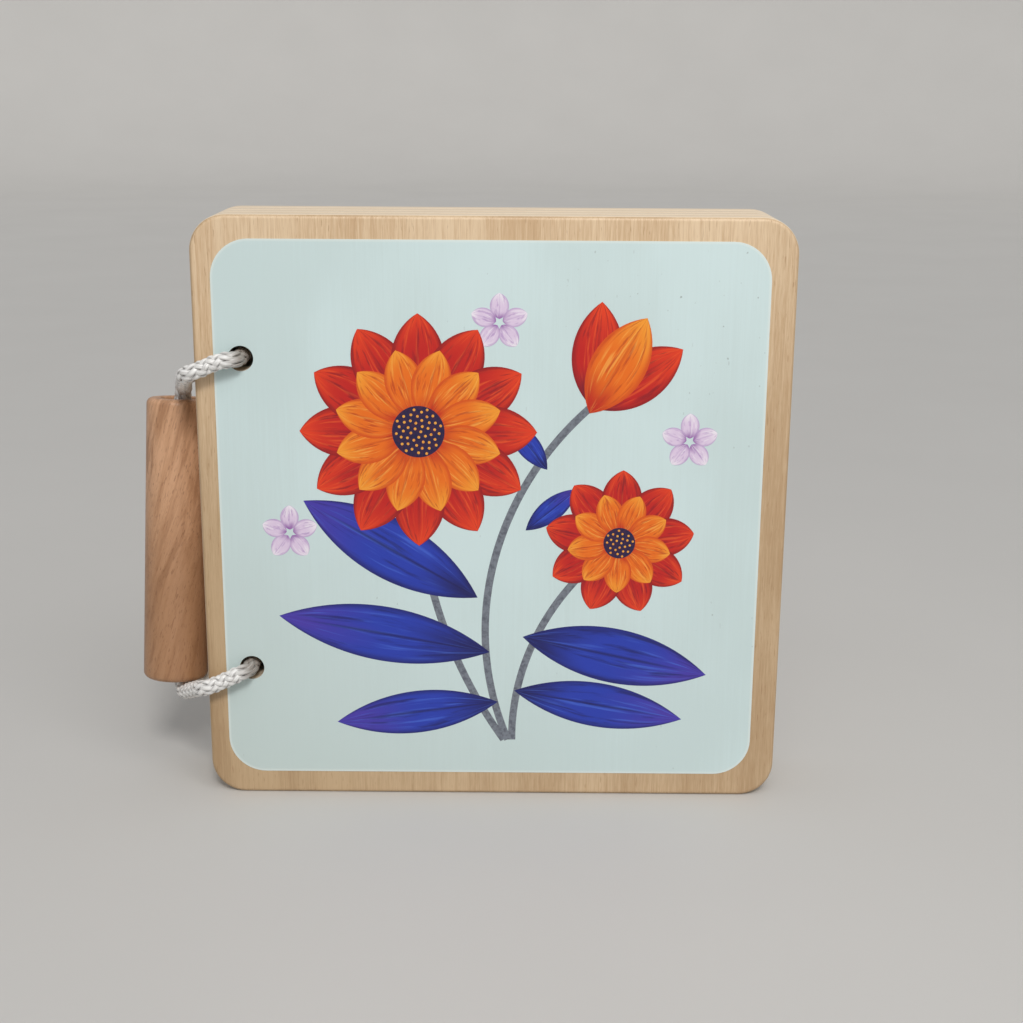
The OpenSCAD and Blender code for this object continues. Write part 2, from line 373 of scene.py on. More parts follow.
class Paint(Tree):
    """A material that is written as expressions."""

    def __init__(self, name: str) -> None:
        """Starts an empty material.

        Args:
            name: The material's name.
        """
        self.material = bpy.data.materials.new(name)
        self.material.use_nodes = True
        super().__init__(self.material.node_tree)
        self.tree.nodes.clear()

    def place(self, shift: Triple = (0.0, 0.0, 0.0), times: float = 1.0) -> Value:
        """Object coordinates in millimetres, times a number, plus shift."""
        return self.scaled(self.out("ShaderNodeTexCoord", output="Object"), (times / MM,) * 3, shift)

    def normal(self) -> Value:
        """The surface's own normal."""
        return self.out("ShaderNodeTexCoord", output="Normal")

    def uv(self) -> tuple[Value, Value]:
        """The piece's UV pair."""
        u, v, _ = self.split(self.out("ShaderNodeUVMap", {"uv_map": "UVMap"}))
        return u, v

    def attribute(self, name: str, output: str = "Fac") -> Value:
        """An attribute of the mesh."""
        return self.out("ShaderNodeAttribute", {"attribute_name": name}, output=output)

    def scaled(self, vector: Value, by: Triple, shift: Triple = (0, 0, 0)) -> Value:
        """Vector times by, plus shift."""
        return self.vector("MULTIPLY_ADD", vector, by, shift)

    def noise(self, vector: Value, detail: float = 2.0, roughness: float = 0.5,
              distortion: float = 0.0) -> Value:
        """Noise from 0 to 1 with features about one unit wide."""
        return self.out("ShaderNodeTexNoise", None, {
            "Vector": vector, "Scale": 1.0, "Detail": detail, "Roughness": roughness, "Distortion": distortion})

    def mix(self, first: Any, second: Any, share: Any) -> Value:
        """Blends two colours by share."""
        colours = {k: (*c, 1.0) if isinstance(c, tuple) else c for k, c in ((6, first), (7, second))}
        return self.out("ShaderNodeMix", {"data_type": "RGBA"}, {0: share, **colours}, output=2)

    def finish(self, colour: Any, roughness: Any, height: Value | None = None, depth: float = 0.05,
               strength: float = 1.0, **constants: float) -> bpy.types.Material:
        """Ends the material in one Principled shader.

        Args:
            colour: Base colour.
            roughness: Roughness, a number or a value.
            height: Relief from 0 to 1, or None for none.
            depth: Height of the relief in millimetres.
            strength: Strength of the relief.
            **constants: Other sockets, with underscores for spaces.

        Returns:
            The material.
        """
        inputs: dict[Any, Any] = {"Base Color": (*colour, 1.0) if isinstance(colour, tuple) else colour,
                                  "Roughness": roughness}
        for key, value in constants.items():
            inputs[key.replace("_", " ")] = value
        if height is not None:
            inputs["Normal"] = self.out(
                "ShaderNodeBump", None, {"Strength": strength, "Distance": depth * MM, "Height": height}
            )
        shader = self.node("ShaderNodeBsdfPrincipled", None, inputs)
        end = self.node("ShaderNodeOutputMaterial", None, {0: shader.outputs[0]})
        end.is_active_output = True
        return self.material


@dataclass(frozen=True)
class BirchFinish:
    """Sanded birch plywood under a clear matt varnish, for one board, with painted shade towards its foot and spine
    and on its rounded edges.
    """

    name: str
    front_y: float
    thickness: float
    seed: float
    light: Rgb = srgb(232, 206, 172)
    deep: Rgb = srgb(206, 173, 135)
    fleck: Rgb = srgb(150, 108, 70)
    end_light: Rgb = srgb(242, 226, 201)
    end_deep: Rgb = srgb(212, 182, 149)
    plies: int = 5
    shade_tone: Rgb = srgb(194, 165, 128)
    shade_tone_deep: Rgb = srgb(166, 135, 99)
    foot_shade: float = 0.52

    def material(self) -> bpy.types.Material:
        """Builds the material."""
        p = Paint(self.name)
        rise = self.seed * 0.7
        place = p.place((self.seed, 0.0, rise))
        tone = p.noise(p.scaled(place, (0.045, 0.05, 0.007)), 3, 0.55, 0.6)
        grain = p.noise(p.scaled(place, (1.5, 1.5, 0.035)), 4, 0.6, 0.25)
        fibre = p.noise(p.scaled(place, (4.6, 4.6, 0.22)), 2, 0.6)
        pores = p.noise(p.scaled(place, (2.6, 2.6, 0.34), (31.0, 5.0, 2.0)), 1, 0.5)
        lines = p.noise(p.scaled(place, (3.4, 3.4, 0.05), (11.0, 2.0, 5.0)), 2, 0.55, 0.1)
        figure = tone * 0.42 + grain * 0.3 + fibre * 0.28
        face = p.mix(self.light, self.deep, figure.ramp(0.4, 0.62))
        shaded_face = p.mix(self.shade_tone, self.shade_tone_deep, (figure * 0.6 + tone * 0.4).ramp(0.4, 0.62))
        x, y, z = p.split(place)
        # Painted shade: the face grows darker towards its foot and towards the spine.
        low = (z - rise + (tone - 0.5) * 50).ramp(135.0, 45.0)
        spine = (x - self.seed).ramp(30.0, -68.0)
        face = p.mix(face, shaded_face, low * (self.foot_shade + spine * 0.4))
        # Painted shade on the rounded edges tones their highlight down; the strip along the fore edge is darker
        # too.
        _, facing, _ = p.split(p.normal())
        rim = (abs(facing)).ramp(0.99, 0.7)
        face = p.mix(face, shaded_face, ((x - self.seed).ramp(58.0, 67.0) * 0.25).at_least(rim * 0.6))
        face = p.mix(face, self.fleck, lines.ramp(0.58, 0.72) * 0.2)
        pore_mask = pores.ramp(0.66, 0.76) * fibre.ramp(0.3, 0.6)
        face = p.mix(face, self.fleck, pore_mask * 0.42)
        layer = (y - self.front_y) * (self.plies / self.thickness)
        crossed = layer.floor().modulo(2.0)
        ends = p.noise(p.scaled(place, (2.4, 5.5, 2.4), (7.0, 3.0, 11.0)), 3, 0.65)
        along = p.noise(p.scaled(place, (0.5, 5.5, 0.5), (3.0, 9.0, 1.0)), 3, 0.6)
        ply = p.mix(self.end_light, self.end_deep,
                    crossed * (0.3 + 0.5 * ends) + (1 - crossed) * (along - 0.34) * 0.7)
        glue = (abs(layer.fract() - 0.5)).ramp(0.44, 0.5)
        ply = p.mix(ply, self.fleck, glue * 0.28)
        flat = (abs(facing)).ramp(0.3, 0.6)
        colour = p.mix(ply, face, flat)
        rough = 0.46 + fibre * 0.14 + pore_mask * 0.1
        relief = fibre * 0.5 + grain * 0.3 - pore_mask * 0.6
        return p.finish(colour, rough, relief, depth=0.05, strength=0.5, Coat_Weight=0.06, Coat_Roughness=0.35)


@dataclass(frozen=True)
class BeechFinish:
    """Turned and waxed beech, on a piece with its own frame in the attribute `own`, with painted shade towards its
    foot.
    """

    name: str = "waxed_beech"
    light: Rgb = srgb(222, 174, 137)
    deep: Rgb = srgb(187, 139, 103)
    shade_tone: Rgb = srgb(158, 115, 80)
    ray: Rgb = srgb(112, 70, 44)
    slant: float = 0.3

    def material(self) -> bpy.types.Material:
        """Builds the material."""
        p = Paint(self.name)
        ox, oy, oz = p.split(p.attribute("own", "Vector"))
        bend = p.noise(p.combine(ox * 0.03, oy * 0.03, oz * 0.02), 1, 0.5)
        own = p.combine(ox - oz * self.slant * (0.4 + bend * 1.2), oy, oz)
        tone = p.noise(p.scaled(own, (0.16, 0.16, 0.012)), 3, 0.55, 0.8)
        grain = p.noise(p.scaled(own, (1.4, 1.4, 0.05)), 4, 0.6, 0.3)
        fibre = p.noise(p.scaled(own, (5.0, 5.0, 0.25)), 2, 0.6)
        rays = p.noise(p.scaled(own, (2.6, 2.6, 0.5), (17.0, 3.0, 8.0)), 1, 0.5)
        bands = p.noise(p.scaled(own, (0.55, 0.55, 0.03), (9.0, 4.0, 6.0)), 2, 0.5, 0.5)
        dashes = p.noise(p.scaled(own, (4.4, 4.4, 0.4), (5.0, 13.0, 2.0)), 1, 0.5)
        flecks = rays.ramp(0.62, 0.72).at_least(dashes.ramp(0.64, 0.74) * 0.8)
        colour = p.mix(self.light, self.deep, (tone * 0.4 + grain * 0.3 + bands * 0.3).ramp(0.4, 0.61))
        # Painted shade: the dowel grows darker towards its foot.
        colour = p.mix(colour, self.shade_tone, (oz + (tone - 0.5) * 30).ramp(26.0, -20.0) * 0.76)
        colour = p.mix(colour, self.ray, bands.ramp(0.54, 0.7) * 0.2)
        colour = p.mix(colour, self.ray, flecks * 0.38)
        colour = p.mix(colour, self.ray, fibre.ramp(0.48, 0.75) * 0.16)
        relief = fibre * 0.5 + grain * 0.3 - flecks * 0.7
        return p.finish(colour, 0.33 + fibre * 0.18, relief, depth=0.06, strength=0.55)


@dataclass(frozen=True)
class MintFinish:
    """Satin ink of a printed field, over the wood's grain, with small scuffs and painted shade towards its lower
    left.
    """

    sizes: BookSizes
    name: str = "mint_ink"
    ink: Rgb = srgb(212, 231, 232)
    shade: Rgb = srgb(205, 223, 223)
    halo: Rgb = srgb(232, 240, 236)
    lower_left_shade: Rgb = srgb(197, 211, 208)
    scuff: Rgb = srgb(132, 138, 136)
    rubbed: tuple[float, float] = (44.0, 124.0)

    def border(self, p: Paint, place: Value) -> Value:
        """Distance from the field's rounded border, negative inside.

        Args:
            p: The material.
            place: Object coordinates in millimetres.

        Returns:
            The signed distance in millimetres.
        """
        s = self.sizes
        (w, h), (cx, cz) = s.field_size, s.field_middle
        x, _, z = p.split(place)
        qx = abs(x - cx) - (w / 2 - s.field_r)
        qz = abs(z - cz) - (h / 2 - s.field_r)
        ox, oz = qx.at_least(0.0), qz.at_least(0.0)
        return (ox * ox + oz * oz).sqrt() + qx.at_least(qz).at_most(0.0) - s.field_r

    def material(self) -> bpy.types.Material:
        """Builds the material."""
        p = Paint(self.name)
        place = p.place()
        grain = p.noise(p.scaled(place, (1.3, 1.3, 0.03)), 4, 0.6, 0.2)
        fibre = p.noise(p.scaled(place, (4.2, 4.2, 0.2)), 2, 0.6)
        cloud = p.noise(p.scaled(place, (0.03, 0.03, 0.02)), 2, 0.5)
        colour = p.mix(self.ink, self.shade, (grain * 0.22 + fibre * 0.08 + cloud * 0.7).ramp(0.36, 0.64))
        x, _, z = p.split(place)
        # Painted shade: the ink grows darker towards the field's lower left.
        colour = p.mix(colour, self.lower_left_shade, (x * 0.8 + z + (cloud - 0.5) * 20).ramp(60.0, -45.0) * 0.8)
        edge = self.border(p, place)
        colour = p.mix(colour, self.halo, edge.ramp(-0.8, -0.15) * 0.5)
        (cx, cz) = self.rubbed
        away = ((x - cx) * (x - cx) + (z - cz) * (z - cz)).sqrt()
        patch = p.noise(p.scaled(place, (0.055, 0.055, 0.05), (3.0, 0.0, 9.0)), 1, 0.5)
        worn = away.ramp(36.0, 14.0).at_least(patch.ramp(0.58, 0.68) * 0.6)
        specks = p.noise(p.scaled(place, (0.8, 0.8, 0.62), (40.0, 0.0, 13.0)), 1, 0.4)
        strokes = p.noise(p.scaled(place, (0.95, 0.95, 0.26), (8.0, 0.0, 3.0)), 1, 0.4)
        marks = (specks.ramp(0.735, 0.785) * worn).at_least(strokes.ramp(0.755, 0.8) * worn * 0.45)
        colour = p.mix(colour, self.scuff, marks * 0.55)
        rough = 0.42 + grain * 0.1 + marks * 0.2
        return p.finish(colour, rough, fibre * 0.5 + grain * 0.5, depth=0.03, strength=0.3)


@dataclass(frozen=True)
class BladeFinish:
    """Painted petal or leaf, whose colour and strokes run from its root to its tip along its UVs."""

    name: str
    root: Rgb
    middle: Rgb
    tip: Rgb
    stroke: Rgb
    light: Rgb
    rim: Rgb
    rib: float = 0.35
    barb: float = 0.0
    strokes: float = 13.0

    def material(self) -> bpy.types.Material:
        """Builds the material."""
        p = Paint(self.name)
        u, v = p.uv()
        side = abs(v - 0.5) * 2
        number = p.attribute("petal_id")
        along = u * 3.2 - side * self.barb
        dark = p.noise(p.combine(along, v * self.strokes, number * 9.7), 3, 0.6, 0.15)
        pale = p.noise(p.combine(along * 0.8 + 5.0, v * self.strokes * 1.3, number * 5.3 + 4.0), 2, 0.55, 0.1)
        broad = p.noise(p.combine(u * 1.6, v * 2.2, number * 3.1 + 9.0), 1, 0.5)
        colour = p.mix(self.root, self.middle, (u + (broad - 0.5) * 0.35).ramp(0.02, 0.42))
        colour = p.mix(colour, self.tip, (u + (broad - 0.5) * 0.4).ramp(0.5, 0.98))
        colour = p.mix(colour, self.light, pale.ramp(0.52, 0.72) * 0.55 * side.ramp(1.0, 0.5))
        colour = p.mix(colour, self.stroke, dark.ramp(0.52, 0.7) * 0.65)
        colour = p.mix(colour, self.stroke, side.ramp(0.1, 0.0) * u.ramp(1.0, 0.6) * self.rib)
        colour = p.mix(colour, self.rim, side.ramp(0.72, 1.0) * 0.8)
        return p.finish(colour, 0.4 + dark * 0.12, dark, depth=0.012, strength=0.3)


@dataclass(frozen=True)
class DiscFinish:
    """Painted flat disc, stem or dot with soft mottling."""

    name: str
    body: Rgb
    stroke: Rgb
    grain: float = 1.2

    def material(self) -> bpy.types.Material:
        """Builds the material."""
        p = Paint(self.name)
        mottle = p.noise(p.place(times=self.grain), 3, 0.6, 0.3)
        colour = p.mix(self.body, self.stroke, mottle.ramp(0.4, 0.68) * 0.8)
        return p.finish(colour, 0.42 + mottle * 0.1, mottle, depth=0.01, strength=0.3)


@dataclass(frozen=True)
class BraidFinish:
    """Glossy white yarn, with fine filaments along each strand, painted shade on the strands' edges and inner
    sides, and painted shade where the cord dips into the holes and bends over the bore's upper end.
    """

    name: str = "white_yarn"
    light: Rgb = srgb(248, 247, 245)
    shade: Rgb = srgb(206, 204, 203)
    deep: Rgb = srgb(158, 155, 154)
    cord_shade_tint: Rgb = srgb(140, 131, 122)

    def material(self) -> bpy.types.Material:
        """Builds the material."""
        p = Paint(self.name)
        round_x, round_y, _ = p.split(p.attribute("round", "Vector"))
        strand = p.attribute("strand")
        along = p.attribute("along")
        filament = p.noise(p.combine(round_x * 5.0, round_y * 5.0 + strand * 3.7, along * 0.35), 3, 0.65)
        colour = p.mix(self.light, self.shade, filament.ramp(0.4, 0.7) * 0.8)
        # Painted shade on each strand's edges and on its side towards the core, where the strands meet.
        strand_edge_shade = (abs(round_y)).ramp(0.24, 0.5).at_least(round_x.ramp(0.1, -0.3))
        colour = p.mix(colour, self.deep, strand_edge_shade * 0.6)
        # Painted shade, in a greyish-brown tint, where the cord dips into the holes and bends over the bore's upper
        # end.
        soil = p.attribute("soil")
        colour = p.mix(colour, p.mix(self.cord_shade_tint, self.shade, filament.ramp(0.6, 0.35) * 0.35), soil)
        return p.finish(
            colour, 0.24 + filament * 0.16, filament, depth=0.1, strength=0.6,
            Sheen_Weight=0.15, Sheen_Roughness=0.4,
        )


@dataclass(frozen=True)
class SleeveFinish:
    """White yarn on the plain stretches of cord that lie in the boards' gaps, with the braid in its relief and
    painted shade in the braid's valleys.
    """

    turn: float
    half: int
    name: str = "white_yarn_sleeve"
    light: Rgb = srgb(246, 245, 243)
    shade: Rgb = srgb(190, 188, 188)

    def material(self) -> bpy.types.Material:
        """Builds the material."""
        p = Paint(self.name)
        angle = p.attribute("angle") * self.half
        along = p.attribute("along") * self.turn * self.half
        left = (angle + along).cos()
        right = (angle - along).cos()
        relief = (left.at_least(right) * 0.5 + 0.5).ramp(0.1, 1.0)
        # Painted shade in the valleys between the braid's strands.
        colour = p.mix(self.shade, self.light, relief)
        return p.finish(colour, 0.42, relief, depth=0.35, strength=0.8, Sheen_Weight=0.25, Sheen_Roughness=0.4)


@dataclass(frozen=True)
class FloorFinish:
    """Plain pale floor."""

    name: str = "pale_floor"
    body: Rgb = srgb(206, 204, 201)
    shade: Rgb = srgb(200, 198, 195)
    cloud_share: float = 0.009

    def material(self) -> bpy.types.Material:
        """Builds the material."""
        p = Paint(self.name)
        cloud = p.noise(p.place(times=self.cloud_share), 3, 0.5)
        colour = p.mix(self.body, self.shade, cloud)
        return p.finish(colour, 0.62 + cloud * 0.1)


def link(name: str, data: bpy.types.ID) -> bpy.types.Object:
    """Makes an object of a mesh, a camera or a light and links it to the scene."""
    made = bpy.data.objects.new(name, data)
    bpy.context.scene.collection.objects.link(made)
    return made


def mark(mesh: bpy.types.Mesh, name: str, rows: np.ndarray) -> None:
    """Stores one number or one vector for each point of a mesh."""
    kind, key = ("FLOAT_VECTOR", "vector") if rows.ndim == 2 else ("FLOAT", "value")
    mesh.attributes.new(name, kind, "POINT").data.foreach_set(key, rows.astype(np.float32).ravel())


def dress(name: str, slot: Slot, body: Body, *replaced: str) -> None:
    """Puts one finished piece on its body.

    Args:
        name: The piece's object name.
        slot: Not used.
        body: The body that it moves with.
        *replaced: The CAD nodes that it stands for.
    """
    piece = bpy.data.objects[name]
    if replaced:
        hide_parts(*replaced)
    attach(piece, body.value)
    LOG.info("%s rides on %s", name, body.value)


class Growth(Tree):
    """A Geometry Nodes tree with named inputs, which is baked into plain meshes."""

    KINDS = {"Object": "NodeSocketObject", "Int": "NodeSocketInt", "Float": "NodeSocketFloat",
             "Material": "NodeSocketMaterial"}

    def __init__(self, name: str, inputs: dict[str, str]) -> None:
        """Starts a tree.

        Args:
            name: The tree's name.
            inputs: Kind of each named input, besides the geometry.
        """
        group = bpy.data.node_groups.new(name, "GeometryNodeTree")
        group.interface.new_socket("Geometry", in_out="INPUT", socket_type="NodeSocketGeometry")
        self.sockets = {
            key: group.interface.new_socket(key, in_out="INPUT", socket_type=self.KINDS[kind]).identifier
            for key, kind in inputs.items()
        }
        group.interface.new_socket("Geometry", in_out="OUTPUT", socket_type="NodeSocketGeometry")
        super().__init__(group)
        self.source = self.node("NodeGroupInput")

    def given(self, name: str) -> Value:
        """One of the tree's inputs."""
        return Value(self, self.source.outputs[name])

    def store(self, geometry: Value, name: str, value: Any, kind: str = "FLOAT",
              domain: str = "POINT") -> Value:
        """Stores a named attribute."""
        return self.out(
            "GeometryNodeStoreNamedAttribute", {"data_type": kind, "domain": domain},
            {"Geometry": geometry, "Name": name, "Value": value},
        )

    def read(self, name: str, kind: str = "FLOAT") -> Value:
        """Reads a named attribute."""
        return self.out("GeometryNodeInputNamedAttribute", {"data_type": kind}, {"Name": name})

    def close(self, geometry: Value) -> None:
        """Ends the tree in Realize Instances and Set Material."""
        real = self.out("GeometryNodeRealizeInstances", None, {0: geometry})
        dressed = self.out("GeometryNodeSetMaterial", None,
                           {"Geometry": real, "Material": self.given("Material")})
        self.node("NodeGroupOutput", None, {0: dressed})

    def grow(self, name: str, mesh: bpy.types.Mesh, place: Matrix | None = None,
             **values: Any) -> bpy.types.Object:
        """Runs the tree on a mesh and keeps the result as a plain mesh.

        Args:
            name: The piece's name.
            mesh: The mesh that the tree starts from.
            place: Where the result goes, or None for where it is.
            **values: The named inputs, with underscores for spaces.

        Returns:
            The finished object.
        """
        carrier = link(name + "_carrier", mesh)
        modifier = carrier.modifiers.new("growth", "NODES")
        modifier.node_group = self.tree
        for key, value in values.items():
            modifier[self.sockets[key.replace("_", " ")]] = value
        evaluated = carrier.evaluated_get(bpy.context.evaluated_depsgraph_get())
        baked = bpy.data.meshes.new_from_object(evaluated)
        carrier.modifiers.clear()
        bpy.data.objects.remove(carrier)
        baked.name = name
        if place is not None:
            baked.transform(place)
        return link(name, baked)


@dataclass
class Boards:
    """The four plywood boards, counted from the back cover."""

    sizes: BookSizes
    nodes: tuple[str, ...] = ("back_cover", "page_board_2", "page_board_1", "front_cover")
    seeds: tuple[float, ...] = (310.0, 125.0, 540.0, 0.0)

    def build(self) -> None:
        """Gives each board its own cut of birch."""
        for index, (node, seed) in enumerate(zip(self.nodes, self.seeds)):
            finish = BirchFinish("birch_" + node, self.sizes.board_front(index), self.sizes.board_t, seed)
            material = finish.material()
            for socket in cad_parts[node].material_slots:
                socket.material = material
            LOG.info("%s dressed in birch", node)


@dataclass
class PrintedFields:
    """The mint fields on the boards' faces."""

    sizes: BookSizes
    nodes: tuple[str, ...] = (
        "cover_field", "inner_cover_field", "page_1_front_field", "page_1_back_field",
        "page_2_front_field", "page_2_back_field", "inner_back_field",
    )

    def build(self) -> None:
        """Gives each field the satin ink."""
        material = MintFinish(self.sizes).material()
        for node in self.nodes:
            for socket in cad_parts[node].material_slots:
                socket.material = material
            LOG.info("%s dressed in ink", node)


def slab(name: str, rails: np.ndarray, heights: np.ndarray, floor: float) -> bpy.types.Mesh:
    """Closed slab whose top is a net of points, with UVs along and across.

    Args:
        name: The mesh's name.
        rails: Points of the net, stations by crossings by X and Y.
        heights: Height of each point of the net.
        floor: Height of the flat underside.

    Returns:
        The mesh.
    """
    count, across = rails.shape[:2]
    last, side = count - 1, across - 1
    points, index, faces, uvs = [], {}, [], []

    def at(i: int, j: int, top: bool) -> int:
        """Index of a point, where the ends of the net are one point each."""
        j = across // 2 if i in (0, count - 1) and np.ptp(rails[i], axis=0).max() < 1e-6 else j
        key = (i, j, top)
        if key not in index:
            index[key] = len(points)
            points.append((*rails[i, j], heights[i, j] if top else floor))
        return index[key]

    def add(corners: list[tuple[int, int, bool]]) -> None:
        """Adds a face, without the corners that fall together."""
        ids = [at(*c) for c in corners]
        keep = [k for k in range(len(ids)) if ids[k] != ids[k - 1]]
        if len(keep) > 2:
            faces.append([ids[k] for k in keep])
            uvs.extend((corners[k][0] / (count - 1), corners[k][1] / (across - 1)) for k in keep)

    for i in range(count - 1):
        for j in range(across - 1):
            add([(i, j, True), (i + 1, j, True), (i + 1, j + 1, True), (i, j + 1, True)])
            add([(i, j + 1, False), (i + 1, j + 1, False), (i + 1, j, False), (i, j, False)])
        add([(i, 0, False), (i + 1, 0, False), (i + 1, 0, True), (i, 0, True)])
        add([(i, side, True), (i + 1, side, True), (i + 1, side, False), (i, side, False)])
    for j in range(across - 1):
        add([(0, j + 1, False), (0, j, False), (0, j, True), (0, j + 1, True)])
        add([(last, j, False), (last, j + 1, False), (last, j + 1, True), (last, j, True)])
    mesh = bpy.data.meshes.new(name)
    mesh.from_pydata(points, [], faces)
    layer = mesh.uv_layers.new(name="UVMap")
    layer.data.foreach_set("uv", np.array(uvs, np.float32).ravel())
    return mesh


def blade_mesh(name: str, length: float, width: float, height: float, tilt: float, floor: float,
               count: int = 22, across: int = 8) -> bpy.types.Mesh:
    """Leaf or petal between two arcs, from its root at the origin along +X.

    Args:
        name: The mesh's name.
        length: Length from root to tip.
        width: Greatest width.
        height: Height of its top.
        tilt: How much one long edge lies higher than the middle.
        floor: Height of its underside.
        count: Steps along.
        across: Steps across.

    Returns:
        The mesh.
    """
    radius = (length * length / 4 + width * width / 4) / width
    turn = np.linspace(-1, 1, count + 1) * math.asin(length / 2 / radius)
    x = length / 2 + radius * np.sin(turn)
    half = np.maximum(radius * np.cos(turn) - (radius - width / 2), 0)
    half[0] = half[-1] = 0
    v = np.linspace(-1, 1, across + 1)
    rails = np.stack([np.repeat(x[:, None], across + 1, 1), half[:, None] * v[None, :]], axis=2)
    return slab(name, rails, height + tilt * np.repeat(v[None, :], count + 1, 0), floor)


def disc_mesh(name: str, radius: float, height: float, floor: float, sides: int = 64) -> bpy.types.Mesh:
    """Closed flat disc about the origin.

    Args:
        name: The mesh's name.
        radius: Its radius.
        height: Height of its top.
        floor: Height of its underside.
        sides: Number of sides.

    Returns:
        The mesh.
    """
    angle = np.arange(sides) * TAU / sides
    ring = [(radius * math.cos(a), radius * math.sin(a)) for a in angle]
    points = [(*q, height) for q in ring] + [(*q, floor) for q in ring]
    faces = [list(range(sides)), list(range(2 * sides - 1, sides - 1, -1))]
    faces += [[i, i + sides, (i + 1) % sides + sides, (i + 1) % sides] for i in range(sides)]
    mesh = bpy.data.meshes.new(name)
    mesh.from_pydata(points, [], faces)
    mesh.uv_layers.new(name="UVMap")
    return mesh


def joined(name: str, meshes: Iterable[tuple[bpy.types.Mesh, Matrix, float | None]]) -> bpy.types.Mesh:
    """Joins placed meshes to one, each with its own number in the attribute `petal_id`.

    Args:
        name: The new mesh's name.
        meshes: Each mesh, its place and its number, or None where it keeps the numbers that it has.

    Returns:
        The joined mesh.
    """
    points, faces, uvs, numbers = [], [], [], []
    for mesh, place, number in meshes:
        base = len(points)
        points += [tuple(place @ v.co) for v in mesh.vertices]
        own = np.full(len(mesh.vertices), number or 0.0, np.float32)
        if number is None:
            mesh.attributes["petal_id"].data.foreach_get("value", own)
        numbers.append(own)
        faces += [[base + i for i in f.vertices] for f in mesh.polygons]
        uvs += [tuple(c.uv) for c in mesh.uv_layers["UVMap"].data]
    made = bpy.data.meshes.new(name)
    made.from_pydata(points, [], faces)
    made.uv_layers.new(name="UVMap").data.foreach_set("uv", np.array(uvs, np.float32).ravel())
    mark(made, "petal_id", np.concatenate(numbers))
    return made


def turned(x: float, y: float, degrees: float) -> Matrix:
    """Place at a point of the drawing, turned by an angle."""
    return Matrix.Translation((x, y, 0)) @ Matrix.Rotation(math.radians(degrees), 4, "Z")


